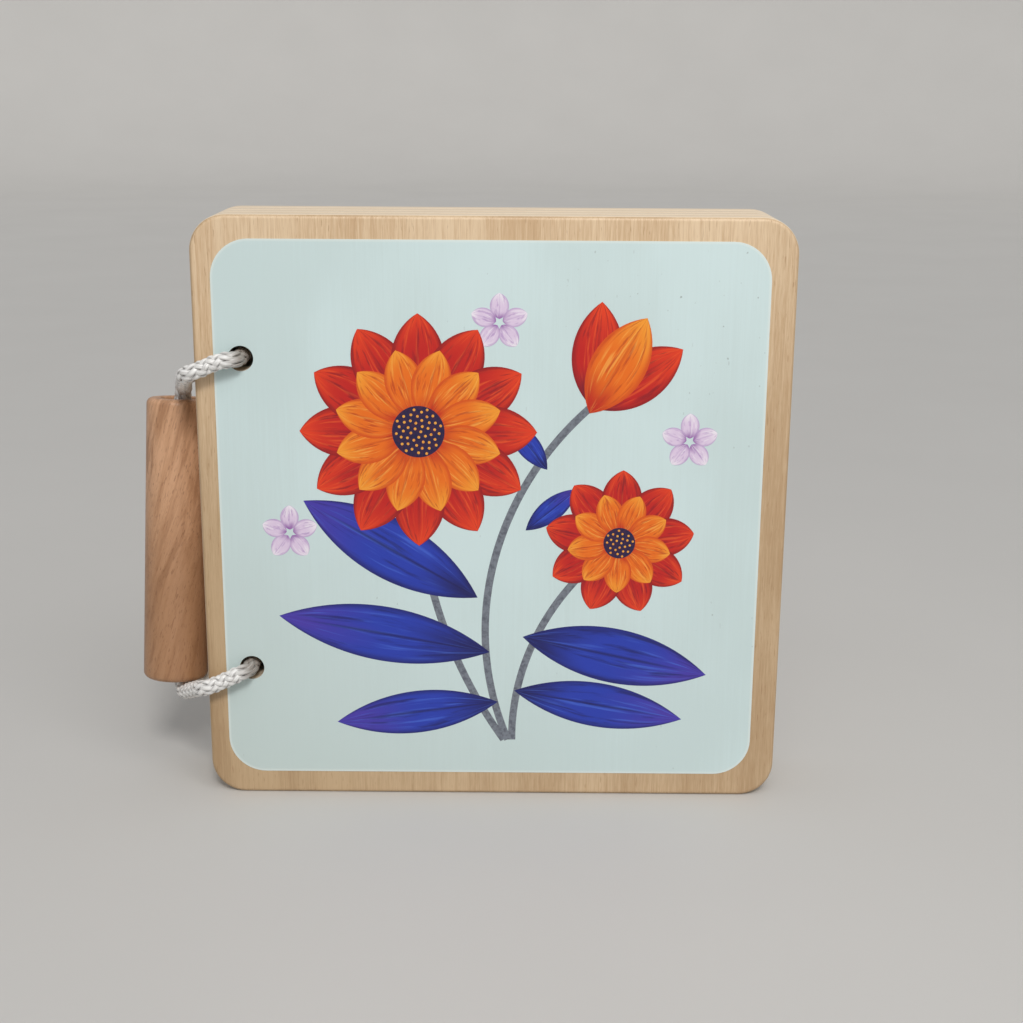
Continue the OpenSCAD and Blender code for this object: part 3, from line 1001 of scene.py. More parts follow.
@dataclass
class CoverSpray:
    """The flower spray on the front cover, drawn about the field's middle with X right and Y up."""

    sizes: BookSizes
    large_at: tuple[float, float] = (-17.0, 21.0)
    small_at: tuple[float, float] = (31.0, -6.0)
    bell_at: tuple[float, float] = (24.0, 27.0)
    large_petals: int = 12
    small_petals: int = 9
    stem_w: float = 1.8
    floor: float = -0.02
    stem_top: float = 0.012
    leaf_top: float = 0.018
    blossom_top: float = 0.034
    red_top: float = 0.05
    orange_top: float = 0.07
    heart_top: float = 0.085
    tilt: float = 0.006
    dot_flat: float = 0.03
    leaves: tuple[tuple[float, ...], ...] = (
        (-3, -20, 150, 48, 15), (0, -34, 170, 52, 14), (2, -47, 188, 40, 11), (8, -30, -12, 46, 14),
        (6, -44, -10, 42, 11.5), (13.5, 12, 128, 15, 5.5), (8.5, -3, 40, 16, 5.5),
    )
    blossoms: tuple[tuple[float, float], ...] = ((-48, -4), (2, 47), (47, 19))
    stems: tuple[tuple[float, ...], ...] = (
        (3.5, -57, -17, 21, 120), (5.5, -57, 31, -6, 62), (4.5, -57, 24.5, 28, 75),
    )

    def place(self) -> Matrix:
        """Matrix from the drawing in millimetres to the cover's face in metres."""
        cx, cz = self.sizes.field_middle
        y = self.sizes.front_y - self.sizes.print_t
        turn = Matrix(((1, 0, 0, cx), (0, 0, -1, y), (0, 1, 0, cz), (0, 0, 0, 1)))
        return Matrix.Scale(MM, 4) @ turn

    def ring_tree(self) -> Growth:
        """Tree that sets petals in a ring, each with its own number."""
        g = Growth("petal_ring", {"Petal": "Object", "Count": "Int", "Start": "Float", "Turn": "Float",
                                  "Number": "Float", "Material": "Material"})
        index = g.out("GeometryNodeInputIndex")
        angle = g.given("Turn") + index * (TAU / g.given("Count"))
        spot = g.combine(angle.cos() * g.given("Start"), angle.sin() * g.given("Start"), 0.0)
        points = g.out("GeometryNodePoints", None, {"Count": g.given("Count"), "Position": spot})
        petal = g.out("GeometryNodeObjectInfo", {"transform_space": "ORIGINAL"}, {"Object": g.given("Petal")},
                      output="Geometry")
        set_out = g.out("GeometryNodeInstanceOnPoints", None,
                        {"Points": points, "Instance": petal, "Rotation": g.combine(0.0, 0.0, angle)})
        chance = g.out("FunctionNodeRandomValue", {"data_type": "FLOAT"}, {"ID": index, "Seed": 7}, output=1)
        g.close(g.store(set_out, "petal_id", chance + g.given("Number"), domain="INSTANCE"))
        return g

    def dot_tree(self) -> Growth:
        """Tree that sets small domes in a sunflower spiral."""
        g = Growth("seed_spiral", {"Count": "Int", "Spread": "Float", "Dot": "Float", "Material": "Material"})
        index = g.out("GeometryNodeInputIndex")
        reach = (index + 0.5).sqrt() * g.given("Spread")
        angle = index * GOLDEN_ANGLE
        points = g.out("GeometryNodePoints", None, {
            "Count": g.given("Count"), "Position": g.combine(angle.cos() * reach, angle.sin() * reach, 0.0)})
        dot = g.out("GeometryNodeMeshIcoSphere", None, {"Radius": g.given("Dot"), "Subdivisions": 2})
        flat = g.out("GeometryNodeTransform", None, {"Geometry": dot, "Scale": (1.0, 1.0, self.dot_flat)})
        g.close(g.out("GeometryNodeInstanceOnPoints", None, {"Points": points, "Instance": flat}))
        return g

    def heads(self, name: str, finish: BladeFinish, slot: Slot, node: str, rings: list[tuple[float, ...]],
              extras: list[tuple[bpy.types.Mesh, Matrix, float]], top: float) -> None:
        """Builds all petals of one colour.

        Args:
            name: Name of the piece.
            finish: The petals' finish.
            slot: The record's slot.
            node: The CAD node that they stand for.
            rings: X, Y, count, start, tip, width and turn of each ring.
            extras: Other blades and discs of the same colour.
            top: Height of their tops.
        """
        tree = self.ring_tree()
        material = finish.material()
        parts = list(extras)
        for number, (x, y, count, start, tip, width, turn) in enumerate(rings):
            petal = link("petal", blade_mesh("petal", tip - start, width, top, self.tilt, self.floor))
            blank = bpy.data.meshes.new("blank")
            ring = tree.grow("ring", blank, None, Petal=petal, Count=int(count), Start=float(start),
                             Turn=math.radians(turn), Number=number * 3.0, Material=material)
            parts.append((ring.data, Matrix.Translation((x, y, 0)), None))
            bpy.data.objects.remove(petal)
            bpy.data.objects.remove(ring)
        self.lay(name, joined(name, parts), material, slot, node)

    def lay(self, name: str, whole: bpy.types.Mesh, material: bpy.types.Material, slot: Slot,
            node: str) -> None:
        """Lays one colour of the picture on the front cover.

        Args:
            name: Name of the piece.
            whole: Its mesh, in the drawing's own frame.
            material: Its finish.
            slot: The record's slot.
            node: The CAD node that it stands for.
        """
        whole.transform(self.place())
        whole.materials.append(material)
        link(name, whole)
        dress(name, slot, Body.FRONT_BOARD, node)

    def stem_mesh(self, p: tuple[float, float], q: tuple[float, float], radius: float) -> bpy.types.Mesh:
        """Arc from p to q that bulges to the left of the way from p to q."""
        start, end = np.array(p), np.array(q)
        half = np.linalg.norm(end - start) / 2
        way = (end - start) / (2 * half)
        centre = (start + end) / 2 + math.sqrt(radius * radius - half * half) * np.array([way[1], -way[0]])
        first = math.atan2(*(start - centre)[::-1])
        sweep = 2 * math.asin(half / radius)
        angle = first + np.linspace(0, 1, 61) * -sweep
        out = np.stack([np.cos(angle), np.sin(angle)], axis=1)
        reach = radius + np.linspace(-0.5, 0.5, 5) * self.stem_w
        rails = centre + out[:, None, :] * reach[None, ::-1, None]
        return slab("stem", rails, np.full(rails.shape[:2], self.stem_top), self.floor)

    def build(self) -> None:
        """Builds every layer of the picture."""
        lx, ly = self.large_at
        sx, sy = self.small_at
        bx, by = self.bell_at
        red = BladeFinish("crimson_petals", srgb(96, 12, 40), srgb(196, 26, 22), srgb(232, 62, 24),
                          srgb(118, 8, 30), srgb(244, 96, 40), srgb(140, 14, 24))
        orange = BladeFinish("orange_petals", srgb(196, 38, 14), srgb(238, 112, 18), srgb(250, 158, 44),
                             srgb(178, 44, 12), srgb(255, 190, 88), srgb(214, 74, 14))
        self.heads("petals_red", red, Slot.RED, "cover_petals_red",
                   [(lx, ly, self.large_petals, 6, 28, 12.5, 0),
                    (sx, sy, self.small_petals, 3.5, 18, 9.6, 8)],
                   [(disc_mesh("d", 14, self.red_top - 0.012, self.floor), turned(lx, ly, 0), 0.2),
                    (disc_mesh("d", 9, self.red_top - 0.012, self.floor), turned(sx, sy, 0), 0.2),
                    (blade_mesh("b", 25, 12, self.red_top, 0, self.floor), turned(bx, by, 86), 0.4),
                    (blade_mesh("b", 25, 12, self.red_top - 0.008, 0, self.floor), turned(bx, by, 34), 0.7)],
                   self.red_top)
        bell = turned(bx, by, 60) @ Matrix.Translation((-1.5, 0, 0))
        self.heads("petals_orange", orange, Slot.ORANGE, "cover_petals_orange",
                   [(lx, ly, self.large_petals, 4, 20, 9.2, 180 / self.large_petals),
                    (sx, sy, self.small_petals, 2.5, 12.5, 6.6, 8 + 180 / self.small_petals)],
                   [(disc_mesh("d", 9, self.orange_top - 0.01, self.floor), turned(lx, ly, 0), 0.1),
                    (disc_mesh("d", 6, self.orange_top - 0.01, self.floor), turned(sx, sy, 0), 0.1),
                    (blade_mesh("b", 26, 13, self.orange_top, 0, self.floor), bell, 0.5)],
                   self.orange_top)
        self.build_hearts()
        self.build_leaves()
        self.build_blossoms()
        self.build_stems()

    def build_hearts(self) -> None:
        """Builds the dark hearts and their stamens."""
        navy = DiscFinish("navy_hearts", srgb(26, 24, 70), srgb(70, 24, 60), 1.6).material()
        whole = joined("flower_hearts", [
            (disc_mesh("d", r, self.heart_top, self.floor), turned(*at, 0), 0.0)
            for r, at in ((6.2, self.large_at), (3.8, self.small_at))])
        self.lay("flower_hearts", whole, navy, Slot.NAVY, "cover_hearts")
        tree = self.dot_tree()
        gold = DiscFinish("golden_stamens", srgb(246, 178, 70), srgb(214, 110, 40), 3.0).material()
        for name, at, count, spread, dot in (("stamens_large", self.large_at, 46, 0.84, 0.34),
                                             ("stamens_small", self.small_at, 24, 0.7, 0.28)):
            place = self.place() @ Matrix.Translation((*at, self.heart_top))
            tree.grow(name, bpy.data.meshes.new("blank"), place, Count=count, Spread=spread, Dot=dot,
                      Material=gold)
            dress(name, Slot.ORANGE, Body.FRONT_BOARD)

    def build_leaves(self) -> None:
        """Builds the blue leaves."""
        blue = BladeFinish("cobalt_leaves", srgb(24, 24, 92), srgb(36, 60, 176), srgb(74, 56, 168),
                           srgb(20, 18, 84), srgb(74, 112, 222), srgb(26, 28, 104),
                           rib=0.75, barb=1.1, strokes=8.0)
        whole = joined("leaves", [
            (blade_mesh("b", length, width, self.leaf_top + 0.0012 * i, 0, self.floor, 30, 10),
             turned(x, y, angle), 0.37 * i) for i, (x, y, angle, length, width) in enumerate(self.leaves)])
        self.lay("leaves", whole, blue.material(), Slot.BLUE, "cover_leaves")

    def build_blossoms(self) -> None:
        """Builds the three small lilac blossoms."""
        lilac = BladeFinish("lilac_blossoms", srgb(150, 96, 170), srgb(226, 206, 232), srgb(244, 236, 246),
                            srgb(176, 140, 196), srgb(250, 246, 252), srgb(188, 160, 204), rib=0.4, strokes=7.0)
        rings = [(x, y, 5, 0.8, 6.8, 4.4, 18) for x, y in self.blossoms]
        self.heads("blossoms", lilac, Slot.LILAC, "cover_blossoms", rings, [], self.blossom_top)

    def build_stems(self) -> None:
        """Builds the grey stems."""
        grey = DiscFinish("grey_stems", srgb(124, 130, 140), srgb(84, 88, 100), 0.9)
        whole = joined("stems", [
            (self.stem_mesh((a, b), (c, d), r), Matrix.Translation((0, 0, 0.001 * i)), 0.0)
            for i, (a, b, c, d, r) in enumerate(self.stems)])
        self.lay("stems", whole, grey.material(), Slot.GREY, "cover_stems")


@dataclass
class SpineDowel:
    """The turned dowel with its bore."""

    sizes: BookSizes
    sides: int = 128
    bore_edge: float = 0.5

    def profile(self) -> list[tuple[float, float]]:
        """Radius and height along the closed section, from the bore's foot outwards and up."""
        s = self.sizes
        half, r, e, bore = s.dowel_l / 2, s.dowel_d / 2, s.dowel_edge_r, s.bore_d / 2
        steps = np.linspace(0, math.pi / 2, 7)
        foot = [(r - e + e * math.sin(a), -half + e - e * math.cos(a)) for a in steps]
        top = [(r - e + e * math.cos(a), half - e + e * math.sin(a)) for a in steps]
        side = [(r, z) for z in np.linspace(-half + e, half - e, 25)[1:-1]]
        wall = [(bore, z) for z in np.linspace(half - self.bore_edge, -half + self.bore_edge, 13)]
        mouth = [(bore + self.bore_edge, half), (bore + 0.15 * self.bore_edge, half - 0.3 * self.bore_edge)]
        heel = [(bore + 0.15 * self.bore_edge, -half + 0.3 * self.bore_edge), (bore + self.bore_edge, -half)]
        return foot + side + top + mouth + wall + heel

    def build(self) -> None:
        """Turns the profile about the dowel's axis."""
        section = self.profile()
        count = len(section)
        own, faces = [], []
        for i in range(self.sides):
            a = TAU * i / self.sides
            own += [(r * math.cos(a), r * math.sin(a), z) for r, z in section]
            for k in range(count):
                n, m = (i + 1) % self.sides, (k + 1) % count
                faces.append([i * count + k, n * count + k, n * count + m, i * count + m])
        mesh = bpy.data.meshes.new("turned_dowel")
        mesh.from_pydata([tuple(self.sizes.on_dowel(q) * MM) for q in own], [], faces)
        mark(mesh, "own", np.array(own))
        mesh.shade_smooth()
        mesh.materials.append(BeechFinish().material())
        link("turned_dowel", mesh)
        dress("turned_dowel", Slot.BEECH, Body.DOWEL, "spine_dowel")


@dataclass
class CordPath:
    """The cord's closed route, with a side vector that turns as little as it can."""

    sizes: BookSizes
    step: float = 0.1
    points: np.ndarray = field(init=False)
    ahead: np.ndarray = field(init=False)
    side: np.ndarray = field(init=False)
    length: float = field(init=False)
    lay: np.ndarray = field(init=False)
    step_real: float = field(init=False)

    def __post_init__(self) -> None:
        """Works out the route's points and side vectors."""
        knots = self.eased(self.knots())
        self.points = self.even(self.rounded(knots))
        count = len(self.points)
        self.length = count * self.step_real
        after, before = np.roll(self.points, -1, 0), np.roll(self.points, 1, 0)
        self.ahead = (after - before) / np.linalg.norm(after - before, axis=1)[:, None]
        self.lay = self.laid()
        steep = abs(self.ahead[0][2]) >= 0.9
        side = np.array([1.0, 0, 0]) if steep else np.cross(self.ahead[0], (0.0, 0.0, 1.0))
        sides = []
        for t in np.vstack([self.ahead, self.ahead[:1]]):
            side = side - (side @ t) * t
            side = side / np.linalg.norm(side)
            sides.append(side)
        first, last = sides[0], sides[-1]
        slip = math.atan2(np.cross(last, first) @ self.ahead[0], last @ first)
        self.side = np.array([
            math.cos(slip * i / count) * s + math.sin(slip * i / count) * np.cross(t, s)
            for i, (s, t) in enumerate(zip(sides[:-1], self.ahead))])

    def laid(self, ease: float = 2.2, reach: float = 1.2) -> np.ndarray:
        """Lay of the braid along the route, which grows more slowly in the bends.

        Args:
            ease: How much a bend slows it, in millimetres.
            reach: Length that the bends are averaged over.

        Returns:
            The lay at each point and, last, after the whole loop, which is as much as the loop's length.
        """
        change = np.roll(self.ahead, -1, 0) - np.roll(self.ahead, 1, 0)
        bend = np.linalg.norm(change, axis=1) / (2 * self.step_real)
        width = round(reach / self.step_real)
        padded = np.concatenate([bend[-width:], bend, bend[:width]])
        smooth = np.convolve(padded, np.ones(2 * width + 1) / (2 * width + 1), "valid")
        lay = np.concatenate([[0], np.cumsum(1 / (1 + ease * smooth))])
        return lay * self.length / lay[-1]

    def lay_at(self, way: np.ndarray) -> np.ndarray:
        """Lay of the braid at ways along the route, past its end too."""
        index = way / self.step_real
        laps = np.floor(index / len(self.points))
        rest = index - laps * len(self.points)
        return laps * self.length + np.interp(rest, np.arange(len(self.lay)), self.lay)

    def squeezed(self, points: np.ndarray, least: float = 0.84, near: float = 2.0,
                 far: float = 6.5) -> np.ndarray:
        """Share of its full thickness that the cord has, less where it bends over an end of the bore.

        Args:
            points: Places along the route.
            least: The share at an end of the bore.
            near: Distance from there within which it is the least.
            far: Distance from there past which the cord is full.

        Returns:
            The share at each point.
        """
        s = self.sizes
        ends = [s.on_dowel((0, 0, side * s.dowel_l / 2)) for side in (-1, 1)]
        away = np.min([np.linalg.norm(points - end, axis=1) for end in ends], axis=0)
        rise = np.clip((away - near) / (far - near), 0, 1)
        return least + (1 - least) * rise * rise * (3 - 2 * rise)

    def cord_shade_share(self, points: np.ndarray) -> np.ndarray:
        """Share of painted shade on the cord, most in the holes' mouths, where it dips into the hole, and some over
        the bore's upper end.

        Args:
            points: Places along the route.

        Returns:
            The share at each point.
        """
        s = self.sizes
        mouth = np.interp(points[:, 0] - s.hole_x, (-2.9, -1.0), (0, 1))
        away = np.linalg.norm(points - s.on_dowel((0, 0, s.dowel_l / 2)), axis=1)
        return np.maximum(mouth, np.interp(away, (3.0, 12.0, 17.0), (0.38, 0.28, 0)))

    def knots(self) -> np.ndarray:
        """The route's own points, as the solids have them."""
        s = self.sizes
        low, high = s.hole_zs
        top, foot = s.on_dowel((0, 0, s.dowel_l / 2)), s.on_dowel((0, 0, -s.dowel_l / 2))
        stretches = [
            (s.on_dowel((1.7, -1.7, 0)), [(0, 0, 0)]),
            (top, [(1.7, -1.8, -0.5), (1.7, -1.9, 1.2), (1.8, -2.3, 2.4), (2, -3.1, 3.3), (2.2, -4.5, 3.9),
                   (2.7, -7.2, 4.8), (3.1, -9.2, 5.5)]),
            ((s.spine_x, s.front_y, high), [(-3.8, 6.2, -6.3), (-3.1, 3.5, -5.4), (-2.5, 1, -4.5), (-1.6, -1, -3.7),
                                            (-0.2, -2.3, -3), (1.7, -2.7, -2.3), (3.9, -2.7, -1.3)]),
            ((s.hole_x, s.front_y, high), [(-5, -2.7, -0.5), (-3, -2.7, 0), (-2, -2.5, 0.1), (-1.1, -1.9, 0.1),
                                           (-0.6, -1.1, 0), (-0.4, 0, 0)]),
            ((s.hole_x, s.back_y, high), [(-0.4, 0, 0), (-0.6, 1.1, 0), (-1.1, 1.9, -0.1), (-2, 2.5, -0.3),
                                          (-3, 2.7, -0.6), (-5, 2.7, -1.4)]),
            ((s.spine_x, s.back_y, high), [(3.7, 2.7, -2.4), (1.5, 2.6, -3.5), (-0.4, 2.2, -4.6), (-2, 1.3, -5.6),
                                           (-4, 0.3, -6.9)]),
            (top, [(2.8, 3.1, 5.6), (1.6, 2.7, 4.5), (0.7, 2.5, 3.2), (0.2, 2.4, 1.6), (0, 2.3, -0.3)]),
            (s.on_dowel((-1.7, 1.7, 0)), [(0, 0, 0)]),
            (foot, [(0.1, 2.35, 0.3), (0.1, 2.4, -1.2), (0.3, 2.7, -2.3), (0.7, 3.3, -3.1), (1.3, 4.1, -3.5),
                    (2.2, 5.2, -3.6), (3.5, 6.8, -3.2)]),
            ((s.spine_x, s.back_y, low), [(-5.6, -2.7, -9.8), (-3.9, -0.9, -8.2), (-2.2, 0.9, -6.6),
                                          (-0.4, 2.1, -5.2), (1.5, 2.6, -4), (3.7, 2.7, -2.7)]),
            ((s.hole_x, s.back_y, low), [(-5, 2.7, -1.5), (-3, 2.7, -0.6), (-2, 2.5, -0.2), (-1.1, 1.9, 0),
                                         (-0.6, 1.1, 0), (-0.4, 0, 0)]),
            ((s.hole_x, s.front_y, low), [(-0.4, 0, 0), (-0.6, -1.1, 0), (-1.1, -1.9, -0.1), (-2, -2.5, -0.4),
                                          (-3, -2.7, -0.8), (-5, -2.7, -1.8)]),
            ((s.spine_x, s.front_y, low), [(3.9, -2.7, -2.8), (1.8, -2.7, -3.7), (-0.1, -2.3, -4.5),
                                           (-1.6, -1, -5.2), (-2.6, 1, -6), (-3.8, 3, -7)]),
            (foot, [(5.9, -8.8, -0.3), (4.9, -7.15, -1.1), (4.1, -5.85, -1.8), (3.3, -4.6, -2.3),
                    (2.7, -3.65, -2.4), (2.15, -2.75, -2), (1.75, -2.1, -1.15), (1.6, -1.85, 0)]),
        ]
        return np.array([np.array(place) + np.array(p) for place, points in stretches for p in points])

    @staticmethod
    def eased(knots: np.ndarray, longest: float = 8.0) -> np.ndarray:
        """Adds points to long straight stretches, so that the curve stays on them."""
        made = []
        for p, q in zip(knots, np.roll(knots, -1, 0)):
            made.append(p)
            if np.linalg.norm(q - p) > longest:
                made += [p + (q - p) * share for share in (0.12, 0.3, 0.5, 0.7, 0.88)]
        return np.array(made)

    @staticmethod
    def rounded(knots: np.ndarray, parts: int = 40) -> np.ndarray:
        """Smooth closed curve through the knots, by centripetal Catmull-Rom pieces."""
        made = []
        count = len(knots)
        for i in range(count):
            p = [knots[(i + k) % count] for k in (-1, 0, 1, 2)]
            t = [0.0]
            for a, b in zip(p, p[1:]):
                t.append(t[-1] + math.sqrt(np.linalg.norm(b - a)))
            u = t[1] + (t[2] - t[1]) * np.arange(parts)[:, None] / parts
            a1 = (t[1] - u) / (t[1] - t[0]) * p[0] + (u - t[0]) / (t[1] - t[0]) * p[1]
            a2 = (t[2] - u) / (t[2] - t[1]) * p[1] + (u - t[1]) / (t[2] - t[1]) * p[2]
            a3 = (t[3] - u) / (t[3] - t[2]) * p[2] + (u - t[2]) / (t[3] - t[2]) * p[3]
            b1 = (t[2] - u) / (t[2] - t[0]) * a1 + (u - t[0]) / (t[2] - t[0]) * a2
            b2 = (t[3] - u) / (t[3] - t[1]) * a2 + (u - t[1]) / (t[3] - t[1]) * a3
            made.append((t[2] - u) / (t[2] - t[1]) * b1 + (u - t[1]) / (t[2] - t[1]) * b2)
        return np.vstack(made)

    def even(self, curve: np.ndarray) -> np.ndarray:
        """Points at even steps along a closed curve."""
        loop = np.vstack([curve, curve[:1]])
        reach = np.concatenate([[0], np.cumsum(np.linalg.norm(np.diff(loop, axis=0), axis=1))])
        count = round(reach[-1] / self.step)
        self.step_real = reach[-1] / count
        at = np.arange(count) * self.step_real
        return np.stack([np.interp(at, reach, loop[:, k]) for k in range(3)], axis=1)

    def nearest(self, point: Sequence[float]) -> float:
        """Way along the route to the place nearest a point."""
        return float(np.argmin(np.linalg.norm(self.points - np.array(point), axis=1))) * self.step_real

    def at(self, way: np.ndarray) -> tuple[np.ndarray, np.ndarray, np.ndarray]:
        """Points, headings and side vectors at ways along the route, past its end too."""
        index = (way / self.step_real) % len(self.points)
        low = np.floor(index).astype(int) % len(self.points)
        high = (low + 1) % len(self.points)
        share = (index - np.floor(index))[:, None]
        return tuple(a[low] * (1 - share) + a[high] * share for a in (self.points, self.ahead, self.side))


@dataclass(frozen=True)
class CordPiece:
    """One stretch of the cord, from one way along the route to another."""

    name: str
    start: float
    end: float
    bodies: tuple[Body, ...]
    step: float = 0.25
    sleeve: bool = False
    slack: float = 0.0


@dataclass
class BindingCord:
    """The braided cord, cut into stretches where it passes from one body to the next."""

    sizes: BookSizes
    strands: int = 12
    strand_w: float = 1.38
    strand_t: float = 0.8
    middle_r: float = 1.38
    weave: float = 0.27
    core_r: float = 1.2
    whole_turns: int = 19
    mouth: float = 0.8
    hole_shift: float = 0.4
    gap_step: float = 0.06
    gap_slack: float = 30.0
    loop_step: float = 0.3
    sleeve_inset: float = 0.15

    def __post_init__(self) -> None:
        """Works out the route and the braid's turn along it."""
        self.path = CordPath(self.sizes)
        self.turn = self.whole_turns * TAU / self.path.length

    def braid_tree(self) -> Growth:
        """Tree that braids strands about the path that it is given."""
        g = Growth("cord_braid", {"Strands": "Int", "Strand Width": "Float", "Strand Thickness": "Float",
                                  "Middle Radius": "Float", "Weave": "Float", "Core Radius": "Float",
                                  "Turn": "Float", "Material": "Material"})
        line = g.out("GeometryNodeMeshToCurve", None, {"Mesh": g.given("Geometry")})
        squeeze = g.read("squeeze")
        line = g.out("GeometryNodeSetCurveRadius", None, {"Curve": line, "Radius": squeeze})
        copies = g.node("GeometryNodeDuplicateElements", {"domain": "SPLINE"},
                        {"Geometry": line, "Amount": g.given("Strands")})
        number = Value(g, copies.outputs["Duplicate Index"])
        lines = g.store(Value(g, copies.outputs["Geometry"]), "strand", number)
        strand = g.read("strand")
        half = g.given("Strands") / 2.0
        second = strand.above(half - 0.5)
        sign = 1 - 2 * second
        along = g.read("along")
        angle = (strand + second * 0.5) * (TAU / half) + sign * along * g.given("Turn")
        reach = g.given("Middle Radius") + sign * (along * g.given("Turn") * half).sin() * g.given("Weave")
        out = g.vector("ADD", g.vector("SCALE", g.read("side", "FLOAT_VECTOR"), scale=angle.cos()),
                       g.vector("SCALE", g.read("up", "FLOAT_VECTOR"), scale=angle.sin()))
        placed = g.out("GeometryNodeSetPosition", None,
                       {"Geometry": lines, "Offset": g.vector("SCALE", out, scale=reach * squeeze)})
        held = g.out("GeometryNodeSetCurveNormal", {"mode": "FREE"}, {"Curve": placed, "Normal": out})
        ring = g.out("GeometryNodeCurvePrimitiveCircle", {"mode": "RADIUS"}, {"Resolution": 8, "Radius": 0.5})
        ring = g.store(ring, "round", g.out("GeometryNodeInputPosition"), "FLOAT_VECTOR")
        size = g.combine(g.given("Strand Thickness"), g.given("Strand Width"), 1.0)
        oval = g.out("GeometryNodeTransform", None, {"Geometry": ring, "Scale": size})
        yarn = g.out("GeometryNodeCurveToMesh", None, {"Curve": held, "Profile Curve": oval, "Fill Caps": True})
        disc = g.out("GeometryNodeCurvePrimitiveCircle", {"mode": "RADIUS"},
                     {"Resolution": 12, "Radius": g.given("Core Radius")})
        disc = g.store(disc, "round", g.out("GeometryNodeInputPosition"), "FLOAT_VECTOR")
        core = g.out("GeometryNodeCurveToMesh", None, {"Curve": line, "Profile Curve": disc, "Fill Caps": True})
        both = g.node("GeometryNodeJoinGeometry")
        for part in (core, yarn):
            g.tree.links.new(part.socket, both.inputs[0])
        g.close(g.out("GeometryNodeSetShadeSmooth", None, {"Geometry": Value(g, both.outputs[0])}))
        return g

    def sleeve_tree(self) -> Growth:
        """Tree that makes one plain tube along the path that it is given."""
        g = Growth("cord_sleeve", {"Radius": "Float", "Material": "Material"})
        line = g.out("GeometryNodeMeshToCurve", None, {"Mesh": g.given("Geometry")})
        held = g.out("GeometryNodeSetCurveNormal", {"mode": "FREE"},
                     {"Curve": line, "Normal": g.read("side", "FLOAT_VECTOR")})
        ring = g.out("GeometryNodeCurvePrimitiveCircle", {"mode": "RADIUS"}, {"Resolution": 24, "Radius": 1.0})
        ring = g.store(ring, "angle", g.out("GeometryNodeInputIndex") * (TAU / 24))
        size = g.combine(g.given("Radius"), g.given("Radius"), 1.0)
        sized = g.out("GeometryNodeTransform", None, {"Geometry": ring, "Scale": size})
        tube = g.out("GeometryNodeCurveToMesh", None, {"Curve": held, "Profile Curve": sized, "Fill Caps": True})
        g.close(g.out("GeometryNodeSetShadeSmooth", None, {"Geometry": tube}))
        return g

    def line_mesh(self, piece: CordPiece) -> bpy.types.Mesh:
        """Line of points along one stretch, with the braid's frame as attributes, in millimetres."""
        count = max(4, round((piece.end - piece.start) / piece.step))
        way = np.linspace(piece.start, piece.end, count + 1)
        points, ahead, side = self.path.at(way)
        up = np.cross(ahead, side)
        along = self.path.lay_at(way) + np.linspace(0, piece.slack, count + 1)
        mesh = bpy.data.meshes.new(piece.name)
        mesh.from_pydata([tuple(q) for q in points], [(i, i + 1) for i in range(count)], [])
        for name, rows in (("along", along), ("squeeze", self.path.squeezed(points)),
                           ("soil", self.path.cord_shade_share(points)), ("side", side), ("up", up)):
            mark(mesh, name, rows)
        return mesh

    def through_boards(self, name: str, z: float, towards_back: bool) -> list[CordPiece]:
        """Stretches in the boards' holes and across the gaps between them.

        Args:
            name: Start of the pieces' names.
            z: Height of the hole.
            towards_back: True where the route runs from the front cover to the back cover.

        Returns:
            The stretches from the front board's gap to the back board's gap, in the route's order.
        """
        s = self.sizes
        cuts = []
        for i in range(3):
            front, back = s.board_front(i) + self.mouth, s.board_front(i + 1) + s.board_t - self.mouth
            ways = sorted(self.path.nearest((s.hole_x - self.hole_shift, y, z)) for y in (front, back))
            cuts.append((ways, CHAIN[i : i + 2]))
        cuts.sort(key=lambda cut: cut[0][0])
        made = []
        for i, (ways, pair) in enumerate(cuts):
            order = tuple(reversed(pair)) if towards_back else pair
            made.append(CordPiece(f"cord_{name}_gap_{i + 1}", *ways, order, self.gap_step, True, self.gap_slack))
            if i < 2:
                made.append(CordPiece(f"cord_{name}_hole_{i + 1}", ways[1], cuts[i + 1][0][0], (order[1],)))
        return made

    def pieces(self) -> list[CordPiece]:
        """Every stretch of the cord, in the route's order."""
        s = self.sizes
        low, high = s.hole_zs
        corner = np.array([s.spine_x, s.front_y, high])
        foot_corner = np.array([s.spine_x, s.front_y, low])
        upper = [self.path.nearest(corner + np.array(p)) for p in
                 ((-3.8, 6.2, -6.3), (-3.45, 4.8, -5.85), (-3.1, 3.5, -5.4), (1.7, -2.7, -2.3))]
        lower = [self.path.nearest(foot_corner + np.array(p)) for p in
                 ((1.8, -2.7, -3.7), (-3.1, 1.9, -6.4), (-3.8, 3, -7), (-4.3, 4.3, -7.3))]
        made = [CordPiece(f"cord_upper_turn_{i + 1}", upper[i], upper[i + 1], CHAIN[i : i + 2], 0.1 + 0.05 * i)
                for i in range(3)]
        first = self.through_boards("upper", high, True)
        made.append(CordPiece("cord_upper_front", upper[3], first[0].start, (Body.FRONT_BOARD,)))
        made += first
        second = self.through_boards("lower", low, False)
        made.append(CordPiece("cord_back", first[-1].end, second[0].start, (Body.BACK_BOARD,), self.loop_step))
        made += second
        made.append(CordPiece("cord_lower_front", second[-1].end, lower[0], (Body.FRONT_BOARD,)))
        made += [CordPiece(f"cord_lower_turn_{3 - i}", lower[i], lower[i + 1], (CHAIN[3 - i], CHAIN[2 - i]),
                           0.2 - 0.05 * i) for i in range(3)]
        made.append(CordPiece("cord_dowel", lower[3], upper[0] + self.path.length, (Body.BACK_BOARD,),
                              self.loop_step))
        return made

